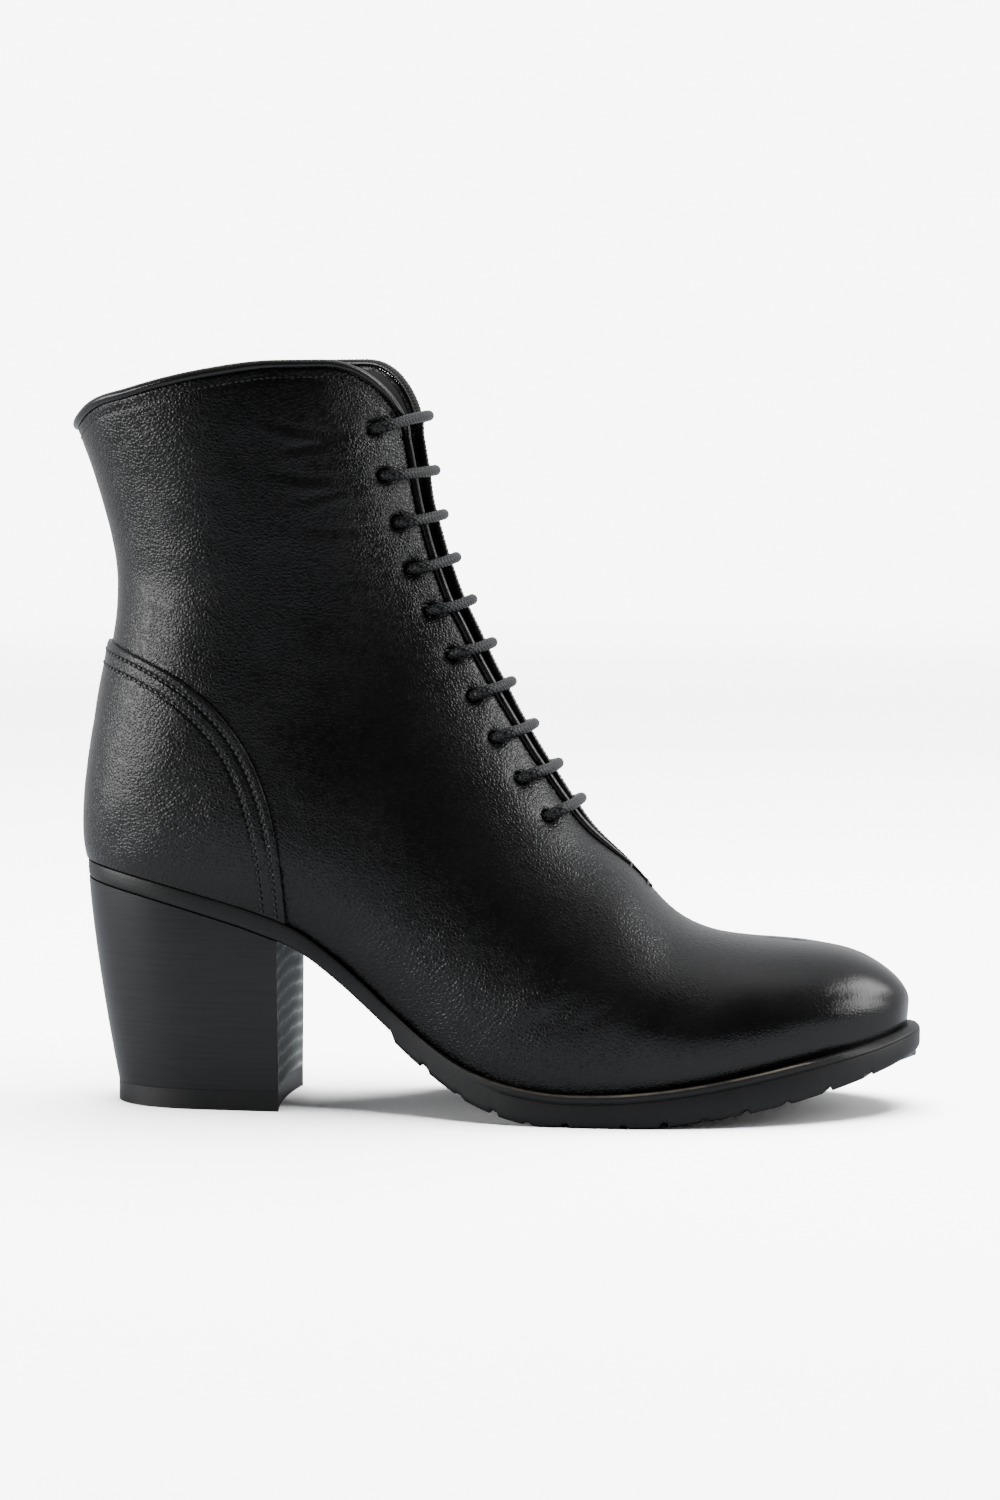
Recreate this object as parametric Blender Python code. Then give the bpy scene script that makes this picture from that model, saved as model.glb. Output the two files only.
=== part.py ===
"""Lace-up ankle boot on a block heel, right foot.

The toe points along +X, the inner (medial) side is +Y and the boot stands on z = 0.
Every size below is in millimetres; meshes are written in metres.
"""

import math

import bmesh
import bpy
import numpy as np

MM = 0.001
GAP = 0.3  # clearance left between neighbouring pieces
SEAT_GAP = 0.7  # the upper's lower edge and the insole over the sole
OUTER = -1  # lateral side, towards -Y
INNER = 1  # medial side, towards +Y
CENTRE_SHIFT = (0.6, 0.9)  # moves the boot so that its box is centred on the origin

# The last: one row for each section, from the toe tip to above the collar.
# A section is a plane square to the boot's middle plane. It runs from an under point, below the
# sole or on the back seam, to a point on the front line, and bulges to its widest on the way.
SECTION_COLUMNS = (
    "under_x", "under_z", "front_x", "front_z", "wide_outer", "wide_inner",
    "wide_at", "under_power", "front_power", "swing",
)
SECTIONS = (
    (114.2, 20.5, 115.0, 30.0, 0.0, 0.0, 0.57, 3.5, 2.30, 4.5),
    (112.4, 17.9, 113.1, 34.9, 8.8, 8.8, 0.56, 3.5, 2.30, 4.3),
    (106.5, 12.4, 107.4, 40.0, 16.5, 16.5, 0.55, 3.5, 2.30, 3.9),
    (96.4, 7.4, 97.6, 44.7, 24.8, 24.5, 0.54, 3.5, 2.25, 3.1),
    (82.4, 1.9, 83.6, 47.1, 32.3, 31.6, 0.525, 3.5, 2.15, 1.9),
    (64.8, -2.6, 67.0, 48.9, 38.0, 37.0, 0.50, 3.5, 2.00, 0.8),
    (44.6, -8.2, 51.0, 53.9, 41.0, 39.5, 0.49, 3.5, 1.90, 0.1),
    (22.4, -12.8, 38.5, 66.5, 41.8, 38.5, 0.48, 3.5, 1.76, 0.0),
    (-1.1, -10.0, 27.0, 76.8, 40.0, 36.0, 0.46, 3.3, 1.68, 0.0),
    (-22.7, 8.5, 18.0, 88.8, 36.5, 33.5, 0.43, 2.9, 1.62, 0.0),
    (-47.5, 32.5, 10.0, 101.2, 33.0, 31.5, 0.415, 2.6, 1.60, 0.0),
    (-75.5, 46.5, 3.5, 112.7, 31.5, 30.5, 0.415, 2.45, 1.58, 0.0),
    (-101.0, 53.5, -2.0, 123.3, 30.5, 30.0, 0.41, 2.35, 1.58, 0.0),
    (-112.8, 60.8, -6.0, 131.7, 30.0, 29.8, 0.40, 2.25, 1.58, 0.0),
    (-116.4, 69.2, -9.2, 138.6, 29.5, 29.5, 0.40, 2.20, 1.58, 0.0),
    (-117.3, 81.0, -12.0, 144.6, 29.4, 29.4, 0.40, 2.20, 1.58, 0.0),
    (-114.8, 103.0, -15.4, 154.2, 29.4, 29.4, 0.41, 2.20, 1.58, 0.0),
    (-110.2, 128.0, -18.0, 162.8, 29.8, 29.8, 0.42, 2.20, 1.58, 0.0),
    (-108.0, 146.0, -20.0, 171.0, 30.5, 30.5, 0.43, 2.20, 1.58, 0.0),
    (-110.5, 163.5, -21.3, 179.5, 31.5, 31.5, 0.44, 2.20, 1.58, 0.0),
    (-115.6, 180.5, -22.6, 188.5, 32.7, 32.7, 0.44, 2.20, 1.58, 0.0),
    (-119.6, 191.0, -23.3, 199.0, 33.6, 33.6, 0.45, 2.20, 1.58, 0.0),
    (-123.8, 204.0, -24.3, 211.0, 34.2, 34.2, 0.45, 2.20, 1.58, 0.0),
)
SECTION = dict(zip(SECTION_COLUMNS, np.array(SECTIONS).T))
LAST_ROW = len(SECTIONS) - 1
CURVE_STEPS = 160  # points worked out along one half of a section
FLAT_START = ("under_x", "front_x", "swing")  # columns that leave the toe tip square to the middle plane

# The sole from heel to toe: height of its top and underside, and how far it stands out of the upper.
SOLE_COLUMNS = ("x", "top", "under", "ledge")
SOLE_LINE = (
    (-120.0, 69.4, 64.4, 0.8),
    (-99.0, 65.2, 60.0, 0.8),
    (-81.0, 60.6, 55.1, 0.8),
    (-66.0, 56.3, 50.4, 0.8),
    (-53.0, 50.9, 45.0, 0.9),
    (-43.9, 44.3, 38.2, 1.0),
    (-34.7, 36.5, 30.2, 1.1),
    (-27.7, 30.1, 23.9, 1.2),
    (-20.4, 24.0, 17.6, 1.4),
    (-13.2, 18.9, 12.4, 1.7),
    (-6.1, 14.9, 8.0, 2.0),
    (1.1, 12.2, 5.0, 2.2),
    (8.1, 10.5, 3.0, 2.4),
    (15.1, 9.4, 2.0, 2.5),
    (31.7, 9.0, 2.0, 2.7),
    (45.4, 10.0, 2.0, 2.8),
    (59.0, 11.8, 3.7, 2.9),
    (72.4, 14.2, 5.8, 3.0),
    (85.8, 16.9, 8.6, 3.2),
    (99.2, 19.6, 12.2, 3.4),
    (107.3, 21.4, 14.8, 3.6),
    (118.0, 24.8, 19.0, 3.8),
)
SOLE = dict(zip(SOLE_COLUMNS, np.array(SOLE_LINE).T))

# Rubber forepart: a tread of this depth under the sole, cut by cross grooves into lugs.
TREAD_BACK_X = -27.0
TREAD_DEPTH = 2.0
GROOVE_DEPTH = 1.6
GROOVE_WIDTH = 2.6
GROOVES_X = (-19.0, -9.0, 1.0, 10.5, 21.0, 37.0, 48.0, 59.0, 70.0, 81.0, 92.0, 103.0)
WALL_RUN = 0.2  # length over which a groove's wall rises
WELT_GROOVE = 0.7  # depth of the groove under the welt
WELT_FADE_X = (-6.0, 12.0)  # the groove deepens from the waist to the forepart
SOLE_STATIONS = 36
STATION_CLEAR = 1.4  # no even station this near to a groove's wall

# Edge of the sole from top to underside: each level is set in from the outline and lies below the
# sole's top or above its underside.
SOLE_LEVEL_COLUMNS = ("inset", "below_top", "above_under")
SOLE_LEVELS = (
    (0.45, 0.0, None),
    (0.0, 0.5, None),
    (0.0, 1.9, None),
    (WELT_GROOVE, 2.2, None),
    (0.15, 2.6, None),
    (0.3, None, 0.8),
    (1.0, None, 0.0),
)

WALL = 2.0  # leather and lining of the upper
INSOLE_THICK = 2.0
INSOLE_INSET = WALL + 0.8
INSOLE_STATIONS = 32

# Grid of the upper.
TOE_ROWS = 12
INSTEP_ROWS = 16
SHAFT_ROWS = 6
COLLAR_STEPS = 6
COLUMN_COUNT = 12
COLUMN_CROWD = 1.15  # columns lie closer towards the throat
TOE_TIP_SHARE = 0.9

# Heel block and its top piece, standing under the seat of the sole.
HEEL_BREAST_X = -59.7
HEEL_BACK_FOOT_X = -108.9
HEEL_FOOT_HALF = 23.6
HEEL_BACK_BOW = 1.3  # how the back curves on its way down
HEEL_BREAST_HOLLOW = 1.8
TOP_PIECE_HEIGHT = 5.6
HEEL_LEVELS = 6
HEEL_INSET = 0.5  # under the sole's edge
HEEL_PLAN_STEPS = 12
HEEL_ACROSS_STEPS = 7
HEEL_HOLLOW_RUN = 14.0

# Throat: two edges from the vamp to the collar, each with a bead.
THROAT_ROW = 6.65
BEAD_RADIUS = 1.15
BEAD_TIP_RADIUS = 0.5
BEAD_GROW_ROWS = 1.3
BEAD_SIDES = 6
BEAD_END_PUSH = 0.8  # keeps the bead's ends off the end of the throat
EDGE_SPARE = 0.6
THROAT_SET = {OUTER: 3.6, INNER: 0.0}  # how much further back each edge lies above the throat's end
THROAT_SET_ROWS = 2.4
THROAT_OPEN = {OUTER: 4.5, INNER: 0.3}  # extra opening of each edge at the collar

# Collar: height of its finished edge from the back seam to the front, and its two front corners.
COLLAR_X = (-121.0, -112.0, -99.0, -86.0, -73.0, -61.0, -50.0, -20.0)
COLLAR_Z = (189.5, 197.0, 201.3, 204.7, 207.2, 208.9, 209.2, 209.2)
COLLAR_CORNER = {OUTER: (-24.0, 22.3, 30.0), INNER: (-21.5, 18.5, 28.0)}
COLLAR_BEAD_DROP = 2.0 * BEAD_RADIUS + GAP
COLLAR_START_ROW = 18.0

# Heel counter: a leather overlay round the back of the foot.
COUNTER_CORNER = (-111.6, 54.0)
COUNTER_REACH = 54.5
COUNTER_HEIGHT = 76.7
COUNTER_POWER = 3.0
COUNTER_SLANT = 0.3  # fall of its top edge, per millimetre forward
COUNTER_THICK = 1.0
COUNTER_LIFT = 0.5
COUNTER_BEHIND = 14.0  # how far the pattern runs behind the back seam
COUNTER_SPAN = 50.0
COUNTER_FIRST_ROW = 9.9
COUNTER_EDGE_STEPS = 15
COUNTER_FOOT_STEPS = 10

# Tongue behind the throat.
TONGUE_THICK = 1.6
TONGUE_BOTTOM_ROW = 6.1
TONGUE_TOP_ROW = 20.6
TONGUE_SEAT = WALL + 0.35
TONGUE_DEPTH = WALL + 4.4
TONGUE_HALF_BOTTOM = 12.0
TONGUE_HALF_TOP = 22.0
TONGUE_WIDEN_ROWS = (6.0, 14.0)
TONGUE_SINK_ROWS = (6.6, 8.2)
TONGUE_STEPS = 18
TONGUE_PARTS = (0.0, 0.25, 0.5, 0.75, 1.0)

# Lace: round waxed cord in straight bars, through punched holes. Each hole lies on a row, set back
# from the front line; its bar crosses the front some rows higher or lower.
LACE_COLUMNS = ("row", "setback", "bar_rise")
LACE_HOLES = (
    (9.0, 16.5, -0.30),
    (9.8, 15.7, -0.32),
    (10.7, 15.0, -0.28),
    (11.7, 13.6, -0.22),
    (13.0, 13.1, -0.34),
    (14.9, 13.6, -0.45),
    (16.1, 15.2, -0.20),
    (17.5, 16.2, -0.18),
    (18.95, 19.0, -0.12),
    (20.25, 20.6, 0.25),
)
LACE = dict(zip(LACE_COLUMNS, np.array(LACE_HOLES).T))
LACE_RADIUS = 1.55
LACE_SIDES = 6
HOLE_RADIUS = 2.25
HOLE_SIDES = 10
PUNCH_REACH = 2.0
BAR_LIFT = 2.25
BAR_STEPS = 5
BAR_END_DEPTH = 1.5
BAR_RIM_INSET = 0.2
BAR_BEND_DEGREES = (45.0, 90.0)

WELD_DISTANCE = 0.000002
SMOOTH_ANGLE = math.radians(40.0)
LEATHER = (0.016, 0.016, 0.018, 1.0)
BEAD_LEATHER = (0.02, 0.02, 0.022, 1.0)
LINING = (0.03, 0.028, 0.027, 1.0)
RUBBER = (0.018, 0.018, 0.019, 1.0)
STACKED_HEEL = (0.022, 0.022, 0.025, 1.0)
WAXED_CORD = (0.035, 0.035, 0.037, 1.0)


def spline(values, at, flat_start=False):
    """Natural cubic curve through values at 0, 1, 2...; flat_start gives it no slope at 0."""
    count = len(values)
    system = np.zeros((count, count))
    right = np.zeros(count)
    for i in range(1, count - 1):
        system[i, i - 1:i + 2] = (1.0, 4.0, 1.0)
        right[i] = 6.0 * (values[i + 1] - 2.0 * values[i] + values[i - 1])
    system[0, 0] = 1.0
    system[-1, -1] = 1.0
    if flat_start:
        system[0, :2] = (2.0, 1.0)
        right[0] = 6.0 * (values[1] - values[0])
    bend = np.linalg.solve(system, right)
    at = np.clip(at, 0.0, count - 1.0)
    left = np.minimum(np.floor(at).astype(int), count - 2)
    after = at - left
    before = 1.0 - after
    straight = before * values[left] + after * values[left + 1]
    curved = (before**3 - before) * bend[left] + (after**3 - after) * bend[left + 1]
    return straight + curved / 6.0


def along(x, knots, values):
    """Smooth curve through unevenly spaced knots."""
    knots = np.asarray(knots, float)
    values = np.asarray(values, float)
    slopes = np.gradient(values, knots)
    x = np.clip(x, knots[0], knots[-1])
    left = np.clip(np.searchsorted(knots, x, side="right") - 1, 0, len(knots) - 2)
    span = knots[left + 1] - knots[left]
    t = (x - knots[left]) / span
    start = (1.0 + 2.0 * t) * (1.0 - t) ** 2 * values[left] + t * (1.0 - t) ** 2 * span * slopes[left]
    end = t**2 * (3.0 - 2.0 * t) * values[left + 1] + t**2 * (t - 1.0) * span * slopes[left + 1]
    return start + end


def sole_top(x):
    return along(x, SOLE["x"], SOLE["top"])


def smooth_step(x, start, end):
    t = np.clip((x - start) / (end - start), 0.0, 1.0)
    return t * t * (3.0 - 2.0 * t)


def section_curves(at, side, lift=0.0):
    """Half sections at the given rows, with the arc length along each and where it leaves the sole."""
    at = np.atleast_1d(np.asarray(at, float))[:, None]
    row = {}
    for name, values in SECTION.items():
        row[name] = spline(values, at, flat_start=name in FLAT_START)
    quarter = np.linspace(0.0, math.pi / 2.0, CURVE_STEPS // 2 + 1)
    low = quarter[None, :-1]
    high = quarter[None, :]
    low_across = np.sin(low) ** (2.0 / row["under_power"])
    high_across = np.maximum(np.cos(high), 0.0) ** (2.0 / row["front_power"])
    low_along = row["wide_at"] * (1.0 - np.cos(low))
    high_along = row["wide_at"] + (1.0 - row["wide_at"]) * np.sin(high)
    across = np.concatenate([low_across, high_across], axis=1)
    forward = np.concatenate([low_along, high_along], axis=1)
    width = row["wide_outer"] if side == OUTER else row["wide_inner"]
    x = row["under_x"] + forward * (row["front_x"] - row["under_x"])
    y = row["swing"] + side * np.maximum(width, 0.0) * across
    z = row["under_z"] + forward * (row["front_z"] - row["under_z"])
    points = np.stack([x, y, z], axis=2)
    steps = np.linalg.norm(np.diff(points, axis=1), axis=2)
    length = np.concatenate([np.zeros((len(at), 1)), np.cumsum(steps, axis=1)], axis=1)
    clear = z - sole_top(x) - SEAT_GAP - lift
    first = np.maximum(np.argmax(clear >= 0.0, axis=1), 1)
    rows = np.arange(len(at))
    below = np.minimum(clear[rows, first - 1], 0.0)
    share = below / np.minimum(below - clear[rows, first], -1e-9)
    start = length[rows, first - 1] + share * (length[rows, first] - length[rows, first - 1])
    start = np.where(clear[:, 0] >= 0.0, 0.0, start)
    return points, length, start


def surface(at, side, share, lift=0.0):
    """Points of the last: share 0 is the sole line or back seam, share 1 is the front line."""
    points, length, start = section_curves(at, side, lift)
    target = start + np.asarray(share, float) * (length[:, -1] - start)
    index = np.clip(np.sum(length <= target[:, None], axis=1) - 1, 0, length.shape[1] - 2)
    rows = np.arange(len(target))
    span = np.maximum(length[rows, index + 1] - length[rows, index], 1e-9)
    t = ((target - length[rows, index]) / span)[:, None]
    return points[rows, index] * (1.0 - t) + points[rows, index + 1] * t


def reach(at, side, lift=0.0):
    """Arc length from the sole line or back seam to the front line."""
    points, length, start = section_curves(at, side, lift)
    return length[:, -1] - start


def share_from_front(at, side, distance):
    return 1.0 - distance / reach(at, side)


def normals(at, side, share):
    """Outward directions of the last; on the front line they lie in the middle plane."""
    step = 0.02
    low_row = np.clip(at - step, 0.3, LAST_ROW)
    high_row = np.clip(at + step, 0.3 + step, LAST_ROW)
    low_share = np.clip(share - step, 0.0, 1.0)
    high_share = np.clip(share + step, 0.0, 1.0)
    down = surface(high_row, side, share) - surface(low_row, side, share)
    up = surface(at, side, high_share) - surface(at, side, low_share)
    out = np.cross(up, down) * -side
    out[np.asarray(share) > 0.995, 1] = 0.0
    return out / np.linalg.norm(out, axis=1)[:, None]


def back_row(lift=0.0):
    """Row at which the under point climbs above the sole: the foot of the back seam."""
    at = np.linspace(13.0, 15.5, 501)
    under_x = spline(SECTION["under_x"], at, flat_start=True)
    under_z = spline(SECTION["under_z"], at)
    return float(np.interp(0.0, under_z - sole_top(under_x) - SEAT_GAP - lift, at))


def bead_radius(at):
    grow = smooth_step(at, THROAT_ROW, THROAT_ROW + BEAD_GROW_ROWS)
    return BEAD_TIP_RADIUS + (BEAD_RADIUS - BEAD_TIP_RADIUS) * grow


def throat_gap(at, side):
    """Distance of a throat edge from the front line, measured on the last."""
    open_share = np.clip((at - THROAT_ROW) / (LAST_ROW - THROAT_ROW), 0.0, 1.0)
    set_back = THROAT_SET[side] * smooth_step(at, THROAT_ROW, THROAT_ROW + THROAT_SET_ROWS)
    return 2.0 * bead_radius(at) + EDGE_SPARE + set_back + THROAT_OPEN[side] * open_share**2


def collar_edge(x, side):
    """Height of the leather's own edge, below the bead, with a rounded front corner."""
    edge_x, corner_reach, corner_drop = COLLAR_CORNER[side]
    turn = np.clip((x - edge_x + corner_reach) / corner_reach, 0.0, 0.999)
    return along(x, COLLAR_X, COLLAR_Z) - COLLAR_BEAD_DROP - corner_drop * (1.0 - np.sqrt(1.0 - turn**2))


def collar_row(side, column):
    """Row at which a column of the upper reaches the collar."""
    at = np.linspace(COLLAR_START_ROW, LAST_ROW, 161)
    point = surface(at, side, column * share_from_front(at, side, throat_gap(at, side)))
    height = point[:, 2] - collar_edge(point[:, 0], side)
    first = int(np.argmax(height >= 0.0))
    t = height[first - 1] / (height[first - 1] - height[first])
    return at[first - 1] + t * (at[first] - at[first - 1])


def material(name, colour, roughness):
    made = bpy.data.materials.new(name)
    made.use_nodes = True
    shader = made.node_tree.nodes["Principled BSDF"]
    shader.inputs["Base Color"].default_value = colour
    shader.inputs["Roughness"].default_value = roughness
    shader.inputs["Metallic"].default_value = 0.0
    made.diffuse_color = colour
    return made


def finish(item, root, finish_material):
    item.data.materials.append(finish_material)
    item.parent = root
    bpy.context.scene.collection.objects.link(item)
    return item


def mesh_object(name, points, faces, root, finish_material, closed=True):
    """Object from points in millimetres, with coincident points welded."""
    mesh = bpy.data.meshes.new(name)
    mesh.from_pydata((np.asarray(points) * MM).tolist(), [], [list(face) for face in faces])
    work = bmesh.new()
    work.from_mesh(mesh)
    bmesh.ops.remove_doubles(work, verts=work.verts, dist=WELD_DISTANCE)
    bmesh.ops.dissolve_degenerate(work, edges=work.edges, dist=WELD_DISTANCE / 2.0)
    if closed:
        bmesh.ops.recalc_face_normals(work, faces=work.faces)
    else:
        bmesh.ops.triangulate(work, faces=work.faces, quad_method="SHORT_EDGE")
    work.to_mesh(mesh)
    work.free()
    mesh.shade_smooth()
    mesh.set_sharp_from_angle(angle=SMOOTH_ANGLE)
    return finish(bpy.data.objects.new(name, mesh), root, finish_material)


def sheet_quads(index, flip=False):
    """Faces of a grid of point numbers."""
    corners = [index[:-1, :-1], index[:-1, 1:], index[1:, 1:], index[1:, :-1]]
    quads = np.stack([corner.ravel() for corner in corners], axis=1)
    return quads[:, ::-1] if flip else quads


def block_object(name, lattice, root, finish_material):
    """Closed solid from a lattice of points: station, across, level."""
    count = lattice.shape[:3]
    index = np.arange(count[0] * count[1] * count[2]).reshape(count)
    sheets = (index[:, :, 0], index[:, :, -1], index[:, 0], index[:, -1], index[0], index[-1])
    faces = np.concatenate([sheet_quads(sheet) for sheet in sheets])
    return mesh_object(name, lattice.reshape(-1, 3), faces, root, finish_material)


def tube_object(name, path, radii, sides, root, finish_material):
    """Round cord along a path, capped at both ends."""
    curve = bpy.data.curves.new(name, "CURVE")
    curve.dimensions = "3D"
    curve.bevel_depth = MM
    curve.bevel_resolution = sides // 2 - 2
    curve.use_fill_caps = True
    curve.twist_mode = "MINIMUM"
    line = curve.splines.new("POLY")
    line.points.add(len(path) - 1)
    for point, place, radius in zip(line.points, path, radii):
        point.co = (*(np.asarray(place) * MM), 1.0)
        point.radius = radius
    line.use_smooth = True
    return finish(bpy.data.objects.new(name, curve), root, finish_material)


def upper_rows():
    """Rows of the upper's grid, with one on the throat's end and one on the foot of the back seam."""
    toe = np.linspace(0.0, THROAT_ROW, TOE_ROWS)
    instep = np.linspace(THROAT_ROW, back_row(), INSTEP_ROWS)[1:]
    shaft = np.linspace(back_row(), COLLAR_START_ROW, SHAFT_ROWS)[1:]
    return np.concatenate([toe, instep, shaft])


def upper_grid(side):
    """Points of one half of the upper: rows from toe to collar, columns from sole line to throat edge."""
    rows = upper_rows()
    columns = 1.0 - (1.0 - np.linspace(0.0, 1.0, COLUMN_COUNT)) ** COLUMN_CROWD
    ends = np.array([collar_row(side, column) for column in columns])
    climb = np.linspace(0.0, 1.0, COLLAR_STEPS)[1:, None]
    low = np.repeat(rows[:, None], COLUMN_COUNT, axis=1)
    high = COLLAR_START_ROW + climb * (ends[None, :] - COLLAR_START_ROW)
    at = np.concatenate([low, high])
    edge = share_from_front(at.ravel(), side, throat_gap(at.ravel(), side)).reshape(at.shape)
    edge = np.where(at < 1.0, np.maximum(edge, TOE_TIP_SHARE), edge)
    share = edge * columns[None, :]
    return at, share, surface(at.ravel(), side, share.ravel()).reshape(*at.shape, 3)


def upper_sheet(first_row):
    """Outer face of the upper from one of its rows up to the collar, as points and faces."""
    points = []
    faces = []
    throat = int(np.argmin(np.abs(upper_rows() - THROAT_ROW)))
    for side in (OUTER, INNER):
        at, share, grid = upper_grid(side)
        fronts = []
        for part in (0.5, 1.0):
            front_share = share[:throat + 1, -1] * (1.0 - part) + part
            fronts.append(surface(at[:throat + 1, -1], side, front_share))
        bridge = np.stack([grid[:throat + 1, -1], *fronts], axis=1)
        for sheet in (grid[first_row:], bridge[first_row:]):
            if len(sheet) == 0:
                continue
            start = sum(len(block) for block in points)
            index = start + np.arange(sheet.shape[0] * sheet.shape[1]).reshape(sheet.shape[:2])
            points.append(sheet.reshape(-1, 3))
            faces.append(sheet_quads(index, flip=side == INNER))
    return np.concatenate(points), np.concatenate(faces)


def cut(item, tool, operation):
    """Boolean of an object with a hidden tool."""
    step = item.modifiers.new(tool.name, "BOOLEAN")
    step.operation = operation
    step.solver = "EXACT"
    step.object = tool


def make_upper(root, leather, punches):
    """Hollow leather upper, open at the collar, at the throat and underneath."""
    points, faces = upper_sheet(0)
    upper = mesh_object("upper", points, faces, root, leather, closed=False)
    wall = upper.modifiers.new("wall", "SOLIDIFY")
    wall.thickness = WALL * MM
    wall.offset = -1.0
    cut(upper, punches, "DIFFERENCE")
    return upper


def make_piping(root, leather):
    """Rolled bead along one throat edge, round the collar and down the other throat edge."""
    path = []
    radii = []
    for side in (OUTER, INNER):
        at, share, grid = upper_grid(side)
        throat = int(np.argmin(np.abs(upper_rows() - THROAT_ROW)))
        edge = np.concatenate([grid[throat:, -1], grid[-1, -2::-1]])
        inside = np.concatenate([grid[throat:-1, -2], grid[-2, -2:-1], grid[-2, -2::-1]])
        edge_at = np.concatenate([at[throat:, -1], at[-1, -2::-1]])
        edge_share = np.concatenate([share[throat:, -1], share[-1, -2::-1]])
        run = np.gradient(edge, axis=0)
        run /= np.linalg.norm(run, axis=1)[:, None]
        out = normals(edge_at, side, edge_share)
        away = np.cross(run, out)
        away *= np.sign(np.sum(away * (edge - inside), axis=1))[:, None]
        radius = bead_radius(edge_at)
        centre = edge - out * WALL / 2.0 + away * (radius + GAP)[:, None]
        centre[0] += run[0] * BEAD_END_PUSH
        path.append(centre if side == OUTER else centre[-2::-1])
        radii.append(radius if side == OUTER else radius[-2::-1])
    path = np.concatenate(path)
    return tube_object("edge_piping", path, np.concatenate(radii), BEAD_SIDES, root, leather)


def counter_pattern():
    """Side outline of the counter: along the sole, round its curved front edge, up to the back seam."""
    turn = np.linspace(0.0, math.pi / 2.0, COUNTER_EDGE_STEPS)
    edge_x = COUNTER_CORNER[0] + COUNTER_REACH * np.cos(turn) ** (2.0 / COUNTER_POWER)
    edge_z = COUNTER_CORNER[1] + COUNTER_HEIGHT * np.sin(turn) ** (2.0 / COUNTER_POWER)
    edge_z -= COUNTER_SLANT * (edge_x - COUNTER_CORNER[0])
    foot_x = np.linspace(COUNTER_CORNER[0] - COUNTER_BEHIND, edge_x[0], COUNTER_FOOT_STEPS)
    foot_z = sole_top(foot_x) + SEAT_GAP + COUNTER_LIFT
    above = edge_z > foot_z[-1] + GAP
    back = [(foot_x[0], COUNTER_CORNER[1] + COUNTER_HEIGHT)]
    return list(zip(foot_x, foot_z)) + list(zip(edge_x[above], edge_z[above])) + back


def make_counter(root, leather):
    """Overlay between two forms standing off the upper's own face, cut out by its side pattern."""
    first_row = int(np.searchsorted(upper_rows(), COUNTER_FIRST_ROW))
    points, faces = upper_sheet(first_row)
    counter = mesh_object("heel_counter", points, faces, root, leather, closed=False)
    stand_off = counter.modifiers.new("stand_off", "DISPLACE")
    stand_off.direction = "NORMAL"
    stand_off.mid_level = 0.0
    stand_off.strength = GAP * MM
    body = counter.modifiers.new("body", "SOLIDIFY")
    body.thickness = COUNTER_THICK * MM
    body.offset = 1.0
    points, faces = prism(counter_pattern(), COUNTER_SPAN)
    cut(counter, make_tool("counter_pattern", points, faces, root), "INTERSECT")
    return counter


def prism(outline, half_width):
    """Side outline carried across the boot, as points and faces."""
    count = len(outline)
    points = [(x, y, z) for y in (-half_width, half_width) for x, z in outline]
    sides = [(i, (i + 1) % count, (i + 1) % count + count, i + count) for i in range(count)]
    return points, [tuple(range(count)), tuple(range(2 * count - 1, count - 1, -1)), *sides]


def make_tool(name, points, faces, root):
    """Hidden solid that only cuts others."""
    mesh = bpy.data.meshes.new(name)
    mesh.from_pydata((np.array(points) * MM).tolist(), [], [list(face) for face in faces])
    work = bmesh.new()
    work.from_mesh(mesh)
    bmesh.ops.recalc_face_normals(work, faces=work.faces)
    work.to_mesh(mesh)
    work.free()
    tool = bpy.data.objects.new(name, mesh)
    tool.hide_render = True
    tool.display_type = "WIRE"
    tool.parent = root
    bpy.context.scene.collection.objects.link(tool)
    return tool


def make_tongue(root, leather):
    """Tongue behind the throat, sewn under the vamp and running up inside the shaft."""
    at = np.linspace(TONGUE_BOTTOM_ROW, TONGUE_TOP_ROW, TONGUE_STEPS)
    half = TONGUE_HALF_BOTTOM + (TONGUE_HALF_TOP - TONGUE_HALF_BOTTOM) * smooth_step(at, *TONGUE_WIDEN_ROWS)
    depth = TONGUE_SEAT + (TONGUE_DEPTH - TONGUE_SEAT) * smooth_step(at, *TONGUE_SINK_ROWS)
    lattice = []
    for side, parts in ((OUTER, TONGUE_PARTS[:0:-1]), (INNER, TONGUE_PARTS)):
        for part in parts:
            share = share_from_front(at, side, half * part)
            out = normals(at, side, share)
            point = surface(at, side, share)
            faces = [point - out * (depth + extra)[:, None] for extra in (0.0, TONGUE_THICK)]
            lattice.append(np.stack(faces, axis=1))
    return block_object("tongue", np.stack(lattice, axis=1), root, leather)


def sole_outline(side, inset):
    """Plan outline of one side, from toe tip to heel back, set in from the sole's edge."""
    at = np.concatenate([np.linspace(0.0, 2.0, 160)[:-1], np.linspace(2.0, back_row(), 400)])
    foot = surface(at, side, np.zeros(len(at)))[:, :2]
    run = np.gradient(foot, axis=0)
    run[0] = (0.0, side)
    run[-1] = (0.0, -side)
    run /= np.linalg.norm(run, axis=1)[:, None]
    out = np.stack([-run[:, 1], run[:, 0]], axis=1) * -side
    ledge = along(foot[:, 0], SOLE["x"], SOLE["ledge"])
    return foot + out * (ledge - inset)[:, None]


def outline_half(x, side, inset):
    """Y of the inset outline at each x."""
    line = sole_outline(side, inset)
    return np.interp(x, line[::-1, 0], line[::-1, 1])


def outline_span(inset):
    """Heel and toe ends of the inset outline."""
    line = sole_outline(OUTER, inset)
    return line[-1, 0], line[0, 0]


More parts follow.
